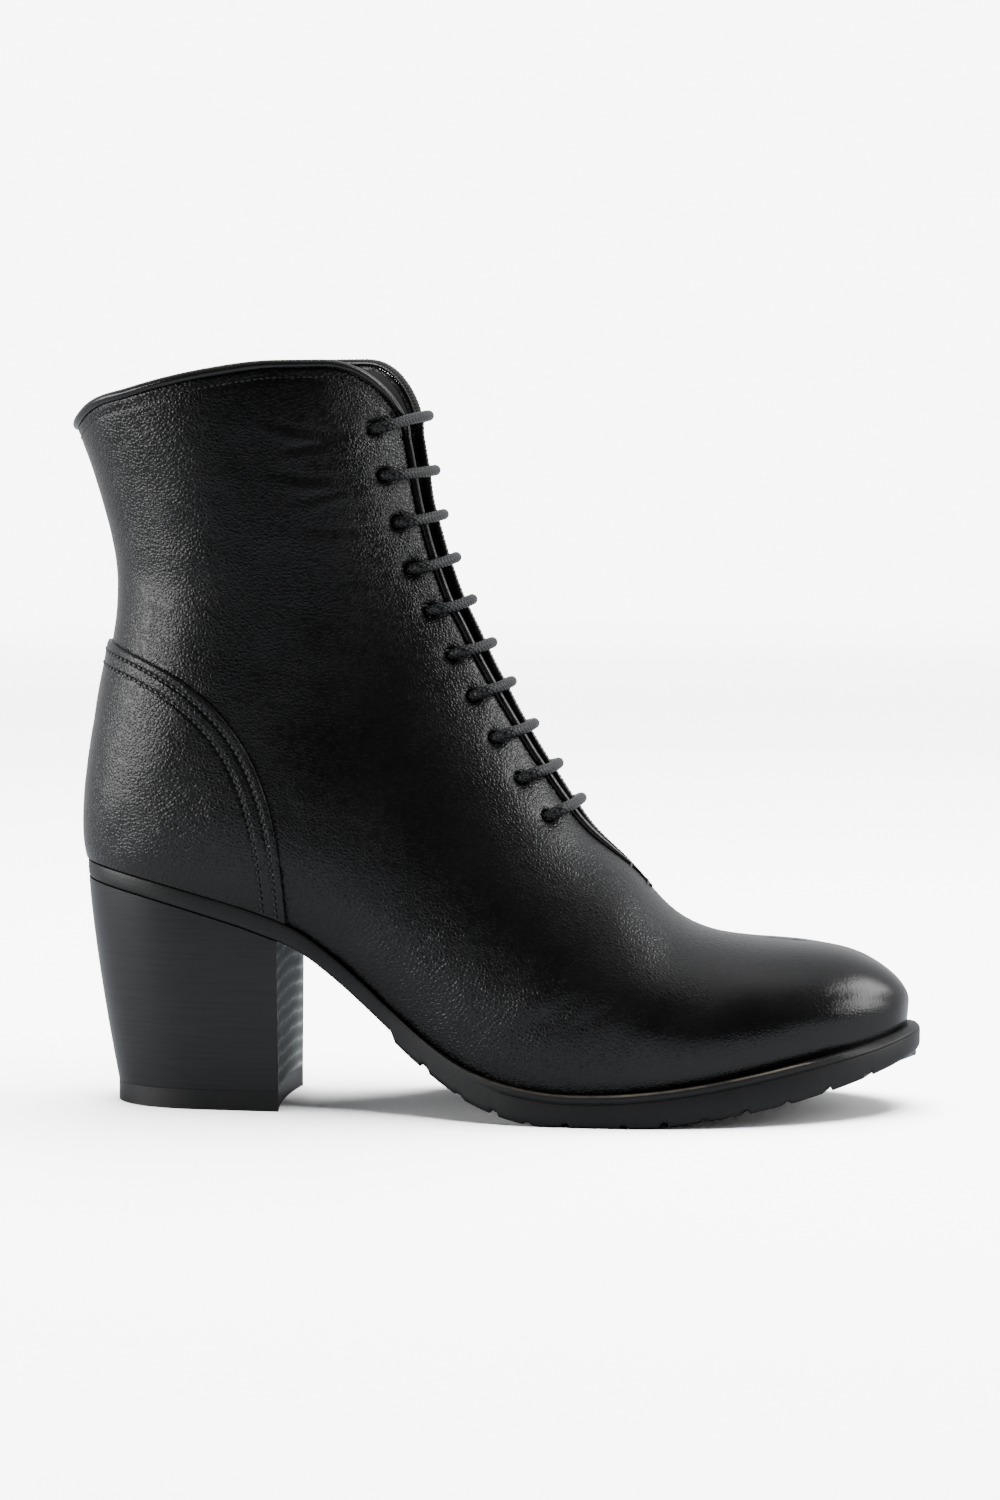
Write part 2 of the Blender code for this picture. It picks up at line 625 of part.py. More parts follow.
def plan_points(stations, inset):
    """Outer and inner edge points at stations given as -1 at the heel back to 1 at the toe tip."""
    back, tip = outline_span(inset)
    x = (back + tip) / 2.0 + stations * (tip - back) / 2.0
    return x, outline_half(x, OUTER, inset), outline_half(x, INNER, inset)


def sole_under(x):
    """Underside of the sole with the tread of its forepart and the cross grooves."""
    tread = TREAD_DEPTH * smooth_step(x, TREAD_BACK_X, TREAD_BACK_X + WALL_RUN)
    height = along(x, SOLE["x"], SOLE["under"]) - tread
    for groove_x in GROOVES_X:
        rise = smooth_step(x, groove_x, groove_x + WALL_RUN)
        fall = smooth_step(x, groove_x + GROOVE_WIDTH - WALL_RUN, groove_x + GROOVE_WIDTH)
        height = height + GROOVE_DEPTH * (rise - fall)
    return np.maximum(height, 0.0)


def sole_stations():
    """Stations along the sole, closer at its round ends and on both sides of each groove wall."""
    back, tip = outline_span(0.0)
    middle = (back + tip) / 2.0
    half = (tip - back) / 2.0
    even = middle - half * np.cos(np.linspace(0.0, math.pi, SOLE_STATIONS))
    walls = [TREAD_BACK_X, TREAD_BACK_X + WALL_RUN]
    for groove_x in GROOVES_X:
        walls += [groove_x, groove_x + WALL_RUN]
        walls += [groove_x + GROOVE_WIDTH - WALL_RUN, groove_x + GROOVE_WIDTH]
    walls = np.array(walls)
    near = np.min(np.abs(even[:, None] - walls[None, :]), axis=1) < STATION_CLEAR
    x = np.sort(np.concatenate([even[~near], walls]))
    return x, (x - middle) / half


def make_outsole(root, rubber):
    """Sole in one piece: welt edge, waist, heel seat and lugged forepart."""
    nominal, stations = sole_stations()
    under = sole_under(nominal)
    welt = smooth_step(nominal, *WELT_FADE_X)
    lattice = []
    for inset, below_top, above_under in SOLE_LEVELS:
        x, outer_y, inner_y = plan_points(stations, inset)
        if inset == WELT_GROOVE:
            plain_x, plain_outer, plain_inner = plan_points(stations, 0.0)
            x = plain_x + welt * (x - plain_x)
            outer_y = plain_outer + welt * (outer_y - plain_outer)
            inner_y = plain_inner + welt * (inner_y - plain_inner)
        height = under + above_under if below_top is None else sole_top(x) - below_top
        edges = [np.stack([x, y, height], axis=1) for y in (outer_y, inner_y)]
        lattice.append(np.stack(edges, axis=1))
    return block_object("outsole", np.stack(lattice, axis=2), root, rubber)


def make_insole(root, lining):
    """Thin insole inside the upper, lying on the sole."""
    stations = -np.cos(np.linspace(0.0, math.pi, INSOLE_STATIONS))
    lattice = []
    for lift in (SEAT_GAP + INSOLE_THICK, SEAT_GAP):
        inset = float(np.max(SOLE["ledge"])) + INSOLE_INSET
        x, outer_y, inner_y = plan_points(stations, inset)
        edges = [np.stack([x, y, sole_top(x) + lift], axis=1) for y in (outer_y, inner_y)]
        lattice.append(np.stack(edges, axis=1))
    return block_object("insole", np.stack(lattice, axis=2), root, lining)


def heel_plan(level_share):
    """Edge points of the heel at one level: 0 under the seat, 1 at its foot."""
    back = outline_span(HEEL_INSET)[0]
    forward = 1.0 - np.cos(np.linspace(0.0, math.pi / 2.0, HEEL_PLAN_STEPS))
    seat_x = back + (HEEL_BREAST_X - back) * forward
    foot_x = HEEL_BACK_FOOT_X + (HEEL_BREAST_X - HEEL_BACK_FOOT_X) * forward
    outer = outline_half(seat_x, OUTER, HEEL_INSET)
    inner = outline_half(seat_x, INNER, HEEL_INSET)
    taper = level_share**HEEL_BACK_BOW
    narrow = 1.0 + taper * (HEEL_FOOT_HALF / float(np.max(np.abs(outer))) - 1.0)
    return seat_x + taper * (foot_x - seat_x), outer * narrow, inner * narrow


def heel_lattice(shares, height_of):
    """Lattice of a heel piece whose breast is hollowed across."""
    across = np.linspace(0.0, 1.0, HEEL_ACROSS_STEPS)
    hollow = HEEL_BREAST_HOLLOW * (1.0 - (2.0 * across - 1.0) ** 2)
    lattice = []
    for share in shares:
        x, outer, inner = heel_plan(share)
        fade = smooth_step(x, HEEL_BREAST_X - HEEL_HOLLOW_RUN, HEEL_BREAST_X)
        plan_x = x[:, None] - fade[:, None] * hollow[None, :]
        plan_y = outer[:, None] + (inner - outer)[:, None] * across[None, :]
        lattice.append(np.stack([plan_x, plan_y, height_of(share, plan_x)], axis=2))
    return np.stack(lattice, axis=2)


def heel_height(share, x):
    """Levels of the heel block, from under the sloping seat to a flat foot."""
    seat = along(x, SOLE["x"], SOLE["under"]) - GAP
    foot = TOP_PIECE_HEIGHT + GAP
    return seat + share * (foot - seat)


def make_heel(root, stacked, rubber):
    """Block heel and the top piece that it stands on."""
    shares = np.linspace(0.0, 1.0, HEEL_LEVELS)
    block_object("heel_block", heel_lattice(shares, heel_height), root, stacked)
    lattice = heel_lattice((1.0, 1.0), lambda share, x: np.zeros_like(x))
    lattice[:, :, 0, 2] = TOP_PIECE_HEIGHT
    block_object("top_piece", lattice, root, rubber)


def hole_places(side):
    """Rows and shares of the lace holes on one side, from the lowest to the top one."""
    return LACE["row"], share_from_front(LACE["row"], side, LACE["setback"])


def make_hole_punches(root):
    """Round punches square to the leather, one for each lace hole."""
    points = []
    faces = []
    turns = np.linspace(0.0, 2.0 * math.pi, HOLE_SIDES, endpoint=False)
    for side in (OUTER, INNER):
        at, share = hole_places(side)
        centres = surface(at, side, share)
        outs = normals(at, side, share)
        for centre, out in zip(centres, outs):
            first = np.cross(out, (0.0, 0.0, 1.0))
            first /= np.linalg.norm(first)
            second = np.cross(out, first)
            ring = np.cos(turns)[:, None] * first + np.sin(turns)[:, None] * second
            start = len(points)
            for depth in (-WALL - PUNCH_REACH, PUNCH_REACH):
                points.extend(centre + out * depth + HOLE_RADIUS * ring)
            low = list(range(start, start + HOLE_SIDES))
            high = [number + HOLE_SIDES for number in low]
            faces.append(low[::-1])
            faces.append(high)
            for i in range(HOLE_SIDES):
                j = (i + 1) % HOLE_SIDES
                faces.append([low[i], low[j], high[j], high[i]])
    return make_tool("lace_hole_punches", points, faces, root)


def bar_end(centre, out, towards):
    """Path of a bar up out of its hole and over the rim, towards the throat."""
    rise = LACE_RADIUS + GAP
    rim = HOLE_RADIUS - BAR_RIM_INSET
    start = centre + towards * (rim - rise)
    path = [start - out * BAR_END_DEPTH, start]
    for turn in BAR_BEND_DEGREES:
        angle = math.radians(turn)
        path.append(centre + towards * (rim - rise * math.cos(angle)) + out * rise * math.sin(angle))
    return path


def make_lace_bars(root, cord):
    """Straight bars of lace, each rising from a hole, over both beads, to the hole across."""
    parts = np.linspace(0.0, 1.0, BAR_STEPS)
    for number, (row, setback, bar_rise) in enumerate(LACE_HOLES, start=1):
        ends = {}
        middle = {}
        for side in (OUTER, INNER):
            share = share_from_front(np.array([row]), side, setback)
            line_at = row + bar_rise * (1.0 - (1.0 - parts) ** 2)
            line_share = share + (1.0 - share) * parts
            out = normals(line_at, side, line_share)
            line = surface(line_at, side, line_share)
            towards = line[1] - line[0]
            towards -= out[0] * np.dot(towards, out[0])
            ends[side] = bar_end(line[0], out[0], towards / np.linalg.norm(towards))
            middle[side] = list((line + out * BAR_LIFT)[2:])
        path = ends[OUTER] + middle[OUTER][:-1] + middle[INNER][::-1] + ends[INNER][::-1]
        radii = [LACE_RADIUS] * len(path)
        tube_object(f"lace_bar_{number:02d}", path, radii, LACE_SIDES, root, cord)


def main():
    for item in list(bpy.data.objects):
        bpy.data.objects.remove(item, do_unlink=True)
    root = bpy.data.objects.new("boot", None)
    root.location = (CENTRE_SHIFT[0] * MM, CENTRE_SHIFT[1] * MM, 0.0)
    bpy.context.scene.collection.objects.link(root)
    leather = material("black_calf", LEATHER, 0.42)
    bead = material("rolled_edge_leather", BEAD_LEATHER, 0.3)
    lining = material("black_lining", LINING, 0.7)
    rubber = material("black_rubber", RUBBER, 0.6)
    stacked = material("stacked_heel", STACKED_HEEL, 0.5)
    cord = material("waxed_cord", WAXED_CORD, 0.55)
    punches = make_hole_punches(root)
    make_outsole(root, rubber)
    make_heel(root, stacked, rubber)
    make_insole(root, lining)
    make_upper(root, leather, punches)
    make_counter(root, leather)
    make_piping(root, bead)
    make_tongue(root, leather)
    make_lace_bars(root, cord)


main()
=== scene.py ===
# Right lace-up ankle boot: leather, laces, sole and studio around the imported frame.
import math

import bmesh
import bpy
import numpy as np
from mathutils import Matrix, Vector


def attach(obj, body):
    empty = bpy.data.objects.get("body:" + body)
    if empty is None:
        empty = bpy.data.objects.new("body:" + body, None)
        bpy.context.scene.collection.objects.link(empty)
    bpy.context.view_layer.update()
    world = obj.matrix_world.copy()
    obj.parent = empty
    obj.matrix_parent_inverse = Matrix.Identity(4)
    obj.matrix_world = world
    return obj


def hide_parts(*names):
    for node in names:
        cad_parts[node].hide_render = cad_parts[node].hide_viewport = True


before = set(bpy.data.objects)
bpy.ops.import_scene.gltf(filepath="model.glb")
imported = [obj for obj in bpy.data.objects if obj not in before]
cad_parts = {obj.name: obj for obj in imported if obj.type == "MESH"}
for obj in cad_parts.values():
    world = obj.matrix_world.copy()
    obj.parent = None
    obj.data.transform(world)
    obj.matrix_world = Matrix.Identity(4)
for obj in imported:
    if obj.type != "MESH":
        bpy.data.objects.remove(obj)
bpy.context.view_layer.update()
print("frame loaded:", len(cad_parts), "nodes")

mm = 0.001
tiny = 1e-9  # keeps divisions off zero
outer, inner = -1, 1  # lateral side towards -Y, medial side towards +Y
centreShift = np.array([0.6, 0.9, 0.0])  # mm, from the last's own origin to the frame's


# Small numeric helpers

def smoothStep(x, start, end):
    # cubic ease from 0 at start to 1 at end
    t = np.clip((x - start) / (end - start), 0.0, 1.0)
    return t * t * (3.0 - 2.0 * t)


def unit(v):
    return v / np.maximum(np.linalg.norm(v, axis=-1, keepdims=True), tiny)


def crowded(count, power):
    # shares from 0 to 1 that lie closer together towards 1
    return 1.0 - (1.0 - np.linspace(0.0, 1.0, count)) ** power


def naturalCurve(values, at, flatStart=False):
    # natural cubic through values at 0, 1, 2...; flatStart gives it no slope at 0
    count = len(values)
    beside = np.ones(count - 1)
    system = np.diag(np.full(count, 4.0)) + np.diag(beside, 1) + np.diag(beside, -1)
    right = np.zeros(count)
    right[1:-1] = 6.0 * (values[2:] - 2.0 * values[1:-1] + values[:-2])
    system[0], system[-1] = 0.0, 0.0
    system[0, 0] = system[-1, -1] = 1.0
    if flatStart:
        system[0, :2] = (2.0, 1.0)
        right[0] = 6.0 * (values[1] - values[0])
    bend = np.linalg.solve(system, right)
    left = np.minimum(np.floor(at).astype(int), count - 2)
    after = at - left
    before = 1.0 - after
    straight = before * values[left] + after * values[left + 1]
    return straight + ((before**3 - before) * bend[left] + (after**3 - after) * bend[left + 1]) / 6.0


def smoothLine(x, knots, values):
    # Hermite curve through uneven knots, slopes from their neighbours
    slopes = np.gradient(values, knots)
    x = np.clip(x, knots[0], knots[-1])
    left = np.clip(np.searchsorted(knots, x, side="right") - 1, 0, len(knots) - 2)
    span = knots[left + 1] - knots[left]
    t = (x - knots[left]) / span
    start = (1.0 + 2.0 * t) * (1.0 - t) ** 2 * values[left] + t * (1.0 - t) ** 2 * span * slopes[left]
    return start + t**2 * (3.0 - 2.0 * t) * values[left + 1] + t**2 * (t - 1.0) * span * slopes[left + 1]


def runAlong(points):
    # distance run at each point of a line
    return np.concatenate([[0.0], np.cumsum(np.linalg.norm(np.diff(points, axis=0), axis=1))])


def readLine(at, run, points):
    return np.stack([np.interp(at, run, points[:, k]) for k in range(3)], axis=-1)


def evenPath(points, step):
    # the same line with its points an even step apart, and the distance run at each
    run = runAlong(points)
    even = np.linspace(0.0, run[-1], max(int(run[-1] / step), 2) + 1)
    return readLine(even, run, points), even


def soften(path, times):
    # draws each inner point towards its neighbours
    for _ in range(times):
        path[1:-1] = (path[:-2] + 2.0 * path[1:-1] + path[2:]) / 4.0


def lifted(plan, height):
    # plan points with their heights
    return np.concatenate([plan, height[..., None]], axis=-1)


# The last, in millimetres: a section leans from an under point to a point on the front line
# and bulges to its widest on the way.

last = {
    "columns": ("underX", "underZ", "frontX", "frontZ", "wideOuter", "wideInner",
                "wideAt", "underPower", "frontPower", "swing"),
    "sections": (
        (114.2, 20.5, 115.0, 30.0, 0.0, 0.0, 0.57, 3.5, 2.30, 4.5),
        (112.4, 17.9, 113.1, 34.9, 8.8, 8.8, 0.56, 3.5, 2.30, 4.3),
        (106.5, 12.4, 107.4, 40.0, 16.5, 16.5, 0.55, 3.5, 2.30, 3.9),
        (96.4, 7.4, 97.6, 44.7, 24.8, 24.5, 0.54, 3.5, 2.25, 3.1),
        (82.4, 1.9, 83.6, 47.1, 32.3, 31.6, 0.525, 3.5, 2.15, 1.9),
        (64.8, -2.6, 67.0, 48.9, 38.0, 37.0, 0.50, 3.5, 2.00, 0.8),
        (44.6, -8.2, 51.0, 53.9, 41.0, 39.5, 0.49, 3.5, 1.90, 0.1),
        (22.4, -12.8, 38.5, 66.5, 41.8, 38.5, 0.48, 3.5, 1.76, 0.0),
        (-1.1, -10.0, 27.0, 76.8, 40.0, 36.0, 0.46, 3.3, 1.68, 0.0),
        (-22.7, 8.5, 18.0, 88.8, 36.5, 33.5, 0.43, 2.9, 1.62, 0.0),
        (-47.5, 32.5, 10.0, 101.2, 33.0, 31.5, 0.415, 2.6, 1.60, 0.0),
        (-75.5, 46.5, 3.5, 112.7, 31.5, 30.5, 0.415, 2.45, 1.58, 0.0),
        (-101.0, 53.5, -2.0, 123.3, 30.5, 30.0, 0.41, 2.35, 1.58, 0.0),
        (-112.8, 60.8, -6.0, 131.7, 30.0, 29.8, 0.40, 2.25, 1.58, 0.0),
        (-116.4, 69.2, -9.2, 138.6, 29.5, 29.5, 0.40, 2.20, 1.58, 0.0),
        (-117.3, 81.0, -12.0, 144.6, 29.4, 29.4, 0.40, 2.20, 1.58, 0.0),
        (-114.8, 103.0, -15.4, 154.2, 29.4, 29.4, 0.41, 2.20, 1.58, 0.0),
        (-110.2, 128.0, -18.0, 162.8, 29.8, 29.8, 0.42, 2.20, 1.58, 0.0),
        (-108.0, 146.0, -20.0, 171.0, 30.5, 30.5, 0.43, 2.20, 1.58, 0.0),
        (-110.5, 163.5, -21.3, 179.5, 31.5, 31.5, 0.44, 2.20, 1.58, 0.0),
        (-115.6, 180.5, -22.6, 188.5, 32.7, 32.7, 0.44, 2.20, 1.58, 0.0),
        (-119.6, 191.0, -23.3, 199.0, 33.6, 33.6, 0.45, 2.20, 1.58, 0.0),
        (-123.8, 204.0, -24.3, 211.0, 34.2, 34.2, 0.45, 2.20, 1.58, 0.0),
    ),
    "flatStart": ("underX", "frontX", "swing"),
    "seatGap": 0.7,  # foot of the leather over the sole
    "seamClear": 0.02,  # the back seam starts where the foot line lifts off by this much
    "heelRow": 10.0,  # and behind this row
    "curveSteps": 160,
    "rowStep": 0.02,
    "shareSteps": 240,
}
lastRow = len(last["sections"]) - 1

# The sole from heel to toe: top, underside, and how far it stands out of the leather.
soleLine = {
    "columns": ("x", "top", "under", "ledge"),
    "stations": (
        (-120.0, 69.4, 64.4, 0.8), (-99.0, 65.2, 60.0, 0.8), (-81.0, 60.6, 55.1, 0.8),
        (-66.0, 56.3, 50.4, 0.8), (-53.0, 50.9, 45.0, 0.9), (-43.9, 44.3, 38.2, 1.0),
        (-34.7, 36.5, 30.2, 1.1), (-27.7, 30.1, 23.9, 1.2), (-20.4, 24.0, 17.6, 1.4),
        (-13.2, 18.9, 12.4, 1.7), (-6.1, 14.9, 8.0, 2.0), (1.1, 12.2, 5.0, 2.2),
        (8.1, 10.5, 3.0, 2.4), (15.1, 9.4, 2.0, 2.5), (31.7, 9.0, 2.0, 2.7),
        (45.4, 10.0, 2.0, 2.8), (59.0, 11.8, 3.7, 2.9), (72.4, 14.2, 5.8, 3.0),
        (85.8, 16.9, 8.6, 3.2), (99.2, 19.6, 12.2, 3.4), (107.3, 21.4, 14.8, 3.6),
        (118.0, 24.8, 19.0, 3.8),
    ),
    "tip": (2.0, 3),  # last row of the toe tip, and the part of all rows (a third) spent on it
}


def columnsOf(names, rows):
    return dict(zip(names, np.array(rows).T))


soleAt = columnsOf(soleLine["columns"], soleLine["stations"])


def alongSole(x, column):
    # top, under or ledge of the sole at x
    return smoothLine(x, soleAt["x"], soleAt[column])


def lastTables(side):
    # Section at a row: across = width * sin(psi)^(2/underPower) up to the widest point, then
    # width * cos(theta)^(2/frontPower) to the front; cut where it meets the sole and
    # respaced by arc length, so that share 0 is the sole line or back seam and 1 the front line.
    rows = np.linspace(0.0, lastRow, int(round(lastRow / last["rowStep"])) + 1)[:, None]
    table = columnsOf(last["columns"], last["sections"])
    row = {name: naturalCurve(v, rows, name in last["flatStart"]) for name, v in table.items()}
    high = np.linspace(0.0, math.pi / 2.0, last["curveSteps"] // 2 + 1)[None, :]
    low = high[:, :-1]
    across = np.concatenate([np.sin(low) ** (2.0 / row["underPower"]),
                             np.maximum(np.cos(high), 0.0) ** (2.0 / row["frontPower"])], axis=1)
    forward = np.concatenate([row["wideAt"] * (1.0 - np.cos(low)),
                              row["wideAt"] + (1.0 - row["wideAt"]) * np.sin(high)], axis=1)
    width = np.maximum(row["wideOuter"] if side == outer else row["wideInner"], 0.0)
    x = row["underX"] + forward * (row["frontX"] - row["underX"])
    z = row["underZ"] + forward * (row["frontZ"] - row["underZ"])
    points = np.stack([x, row["swing"] + side * width * across, z], axis=2)
    run = np.concatenate([np.zeros((len(rows), 1)),
                          np.cumsum(np.linalg.norm(np.diff(points, axis=1), axis=2), axis=1)], axis=1)
    clear = z - alongSole(x, "top") - last["seatGap"]
    number = np.arange(len(rows))
    first = np.maximum(np.argmax(clear >= 0.0, axis=1), 1)
    below = np.minimum(clear[number, first - 1], 0.0)
    part = below / np.minimum(below - clear[number, first], -tiny)
    start = run[number, first - 1] + part * (run[number, first] - run[number, first - 1])
    start = np.where(clear[:, 0] >= 0.0, 0.0, start)
    length = run[:, -1] - start
    shares = np.linspace(0.0, 1.0, last["shareSteps"] + 1)
    target = start[:, None] + shares[None, :] * length[:, None]
    left = np.stack([np.searchsorted(r, t, side="right") - 1 for r, t in zip(run, target)])
    left = np.clip(left, 0, run.shape[1] - 2)
    each = number[:, None]
    span = np.maximum(run[each, left + 1] - run[each, left], tiny)
    t = ((target - run[each, left]) / span)[..., None]
    grid = points[each, left] * (1.0 - t) + points[each, left + 1] * t
    out = np.cross(np.gradient(grid, axis=1), np.gradient(grid, axis=0)) * -side
    out[:, -1, 1] = 0.0  # on the front line the leather faces straight ahead
    out[0] = out[1]
    return grid, unit(out), length


lastPoints, lastOuts, lastLengths = {}, {}, {}
for side in (outer, inner):
    lastPoints[side], lastOuts[side], lastLengths[side] = lastTables(side)
foot = lastPoints[outer][:, 0]
lifts = foot[:, 2] - alongSole(foot[:, 0], "top") - last["seatGap"] > last["seamClear"]
footRows = np.arange(len(foot)) * last["rowStep"]
backRow = float(footRows[np.argmax(lifts & (footRows > last["heelRow"]))])
print("last worked out, back seam starts at row", round(backRow, 2))


def lookUp(table, at, share):
    # bilinear reading of a last table at any rows and shares
    r = np.clip(at, 0.0, lastRow) / last["rowStep"]
    c = np.clip(share, 0.0, 1.0) * last["shareSteps"]
    i = np.minimum(r.astype(int), table.shape[0] - 2)
    j = np.minimum(c.astype(int), table.shape[1] - 2)
    u, v = (r - i)[..., None], (c - j)[..., None]
    low = table[i, j] * (1.0 - v) + table[i, j + 1] * v
    return low * (1.0 - u) + (table[i + 1, j] * (1.0 - v) + table[i + 1, j + 1] * v) * u


def onLast(at, share, side):
    return lookUp(lastPoints[side], at, share)


def outOf(at, share, side):
    return unit(lookUp(lastOuts[side], at, share))


def girth(at, side):
    return np.interp(at, np.arange(len(lastLengths[side])) * last["rowStep"], lastLengths[side])


def fromFront(at, side, distance):
    # share that lies a distance back from the front line, along the leather
    return 1.0 - distance / girth(at, side)


# Putting arrays into Blender

def gridFaces(shape, start=0, flip=False, closed=False):
    # quads of a grid of points; closed joins the last column to the first
    index = start + np.arange(shape[0] * shape[1]).reshape(shape)
    if closed:
        index = np.concatenate([index, index[:, :1]], axis=1)
    corners = [index[:-1, :-1], index[:-1, 1:], index[1:, 1:], index[1:, :-1]]
    quads = np.stack(corners, axis=-1).reshape(-1, 4)
    return quads[:, ::-1] if flip else quads


def joinGrids(grids):
    # several (points, flip, closed) grids as one list of points and quads
    points, quads, start = [], [], 0
    for grid, flip, closed in grids:
        points.append(grid.reshape(-1, 3))
        quads.append(gridFaces(grid.shape[:2], start, flip, closed))
        start += len(points[-1])
    return np.concatenate(points), np.concatenate(quads)


def placesOf(mesh):
    # points of a mesh as one array
    places = np.empty(len(mesh.vertices) * 3, np.float32)
    mesh.vertices.foreach_get("co", places)
    return places.reshape(-1, 3)


def weldPoints(mesh, weld, change=None):
    # points closer than weld become one, faces left without area go, then change edits the mesh
    work = bmesh.new()
    work.from_mesh(mesh)
    bmesh.ops.remove_doubles(work, verts=work.verts, dist=weld * mm)
    bmesh.ops.dissolve_degenerate(work, edges=work.edges, dist=weld * mm * 0.5)
    work.to_mesh(mesh)
    if change:
        change(work, placesOf(mesh))
        work.to_mesh(mesh)
    work.free()


def faceOut(work, places):
    # change that turns every face of a closed piece outwards; it needs no places
    bmesh.ops.recalc_face_normals(work, faces=work.faces)


def pieceFrom(name, grids, finish, replaced=(), weld=0.004, sharp=50.0, change=None):
    # one finished piece: grids in mm, doubles welded, smooth shading, riding on the boot
    points, quads = joinGrids(grids)
    mesh = bpy.data.meshes.new(name)
    mesh.vertices.add(len(points))
    mesh.vertices.foreach_set("co", ((points + centreShift) * mm).astype(np.float32).ravel())
    mesh.loops.add(quads.size)
    mesh.loops.foreach_set("vertex_index", quads.astype(np.int32).ravel())
    mesh.polygons.add(len(quads))
    mesh.polygons.foreach_set("loop_start", np.arange(0, quads.size, quads.shape[1], dtype=np.int32))
    mesh.update(calc_edges=True)
    weldPoints(mesh, weld, change)
    mesh.shade_smooth()
    mesh.set_sharp_from_angle(angle=math.radians(sharp))
    mesh.materials.append(finish)
    piece = bpy.data.objects.new(name, mesh)
    bpy.context.scene.collection.objects.link(piece)
    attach(piece, "root")
    if replaced:
        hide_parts(*replaced)
    print("piece", name, len(mesh.polygons), "faces")
    return piece


tube = {
    "sideways": (0.31, 0.87, 0.39),  # any way off the path, from which the first frame is turned
    "dome": (0.6, 1.1, math.pi / 2.0),  # angles of the rings that close an end
}


def tubeGrid(path, radius, sides):
    # circle carried along a path on frames that turn as little as they can; domed ends close to a point
    along = unit(np.gradient(path, axis=0))
    across = np.zeros_like(path)
    across[0] = unit(np.cross(along[0], tube["sideways"]))
    for k in range(1, len(path)):
        across[k] = unit(across[k - 1] - along[k] * np.dot(across[k - 1], along[k]))
    up = np.cross(along, across)
    turn = np.linspace(0.0, 2.0 * math.pi, sides, endpoint=False)
    ring = across[:, None] * np.cos(turn)[None, :, None] + up[:, None] * np.sin(turn)[None, :, None]
    size = np.broadcast_to(np.asarray(radius, float), (len(path),))
    ends = [np.stack([path[k] + ring[k] * size[k] * math.cos(a) + along[k] * way * size[k] * math.sin(a)
                      for a in tube["dome"]]) for k, way in ((0, -1.0), (-1, 1.0))]
    return np.concatenate([ends[0][::-1], path[:, None] + ring * size[:, None, None], ends[1]])


# Materials

def linear(hexColour):
    # sRGB hex to linear RGBA
    srgb = np.array([int(hexColour[k:k + 2], 16) for k in (1, 3, 5)]) / 255.0
    rgb = np.where(srgb <= 0.04045, srgb / 12.92, ((srgb + 0.055) / 1.055) ** 2.4)
    return (*rgb, 1.0)


def plug(tree, made, sockets):
    # inputs of a node: a constant is set, another node's output is linked
    for key, value in sockets.items():
        if isinstance(value, bpy.types.NodeSocket):
            tree.links.new(value, made.inputs[key])
        else:
            made.inputs[key].default_value = value


def node(tree, kind, sockets, output=0, **settings):
    # adds one node with its settings and inputs, and gives back one of its outputs
    made = tree.nodes.new(kind)
    for key, value in settings.items():
        setattr(made, key, value)
    plug(tree, made, sockets)
    return made.outputs[output] if len(made.outputs) else None


def newFinish(name, colour, roughness, ior):
    # a Principled material, with its node tree and its shader
    finish = bpy.data.materials.new(name)
    finish.use_nodes = True
    tree = finish.node_tree
    shader = tree.nodes["Principled BSDF"]
    plug(tree, shader, {"Base Color": linear(colour), "Roughness": roughness, "IOR": ior})
    return finish, tree, shader


def objectPlace(tree):
    return node(tree, "ShaderNodeTexCoord", {}, "Object")


def ramp(tree, source, *stops):
    # colour ramp between (position, hex) stops
    made = tree.nodes.new("ShaderNodeValToRGB")
    plug(tree, made, {"Fac": source})
    elements = made.color_ramp.elements
    while len(elements) < len(stops):
        elements.new(0.5)
    for element, (position, colour) in zip(elements, stops):
        element.position = position
        element.color = linear(colour)
    return made.outputs["Color"]


def remap(tree, value, start, end, low=0.0, high=1.0, ease="LINEAR"):
    return node(tree, "ShaderNodeMapRange", {"Value": value, "From Min": start, "From Max": end,
                "To Min": low, "To Max": high}, interpolation_type=ease)


def noise(tree, place, lumpMm, detail, roughness=0.5):
    return node(tree, "ShaderNodeTexNoise", {"Vector": place, "Scale": 1000.0 / lumpMm, "Detail": detail,
                "Roughness": roughness}, "Fac")


def maths(tree, operation, *values):
    return node(tree, "ShaderNodeMath", dict(enumerate(values)), operation=operation)


def addBump(tree, shader, height, depthMm, strength=1.0):
    bump = node(tree, "ShaderNodeBump", {"Height": height, "Distance": depthMm * mm, "Strength": strength})
    plug(tree, shader, {"Normal": bump})


calf = {
    "ior": 1.42,
    "drawn": (1.35, 1.0, 1.0),  # pebbles are longer along the skin, which runs at this turn
    "turn": (0.0, 0.45, 0.0),
    "pebbleEdge": 0.34,  # share of a pebble over which it rounds off
    "pores": (0.9, 0.7),  # size in pebbles, share of the relief
    "polishMm": 22.0,
    "toe": (0.03, 0.09, 0.3),  # metres over which the grain is rubbed down, and what is left of it
    "wax": (0.04, 0.095, 0.72),  # and over which the toe is waxed, with what is left of the roughness
}


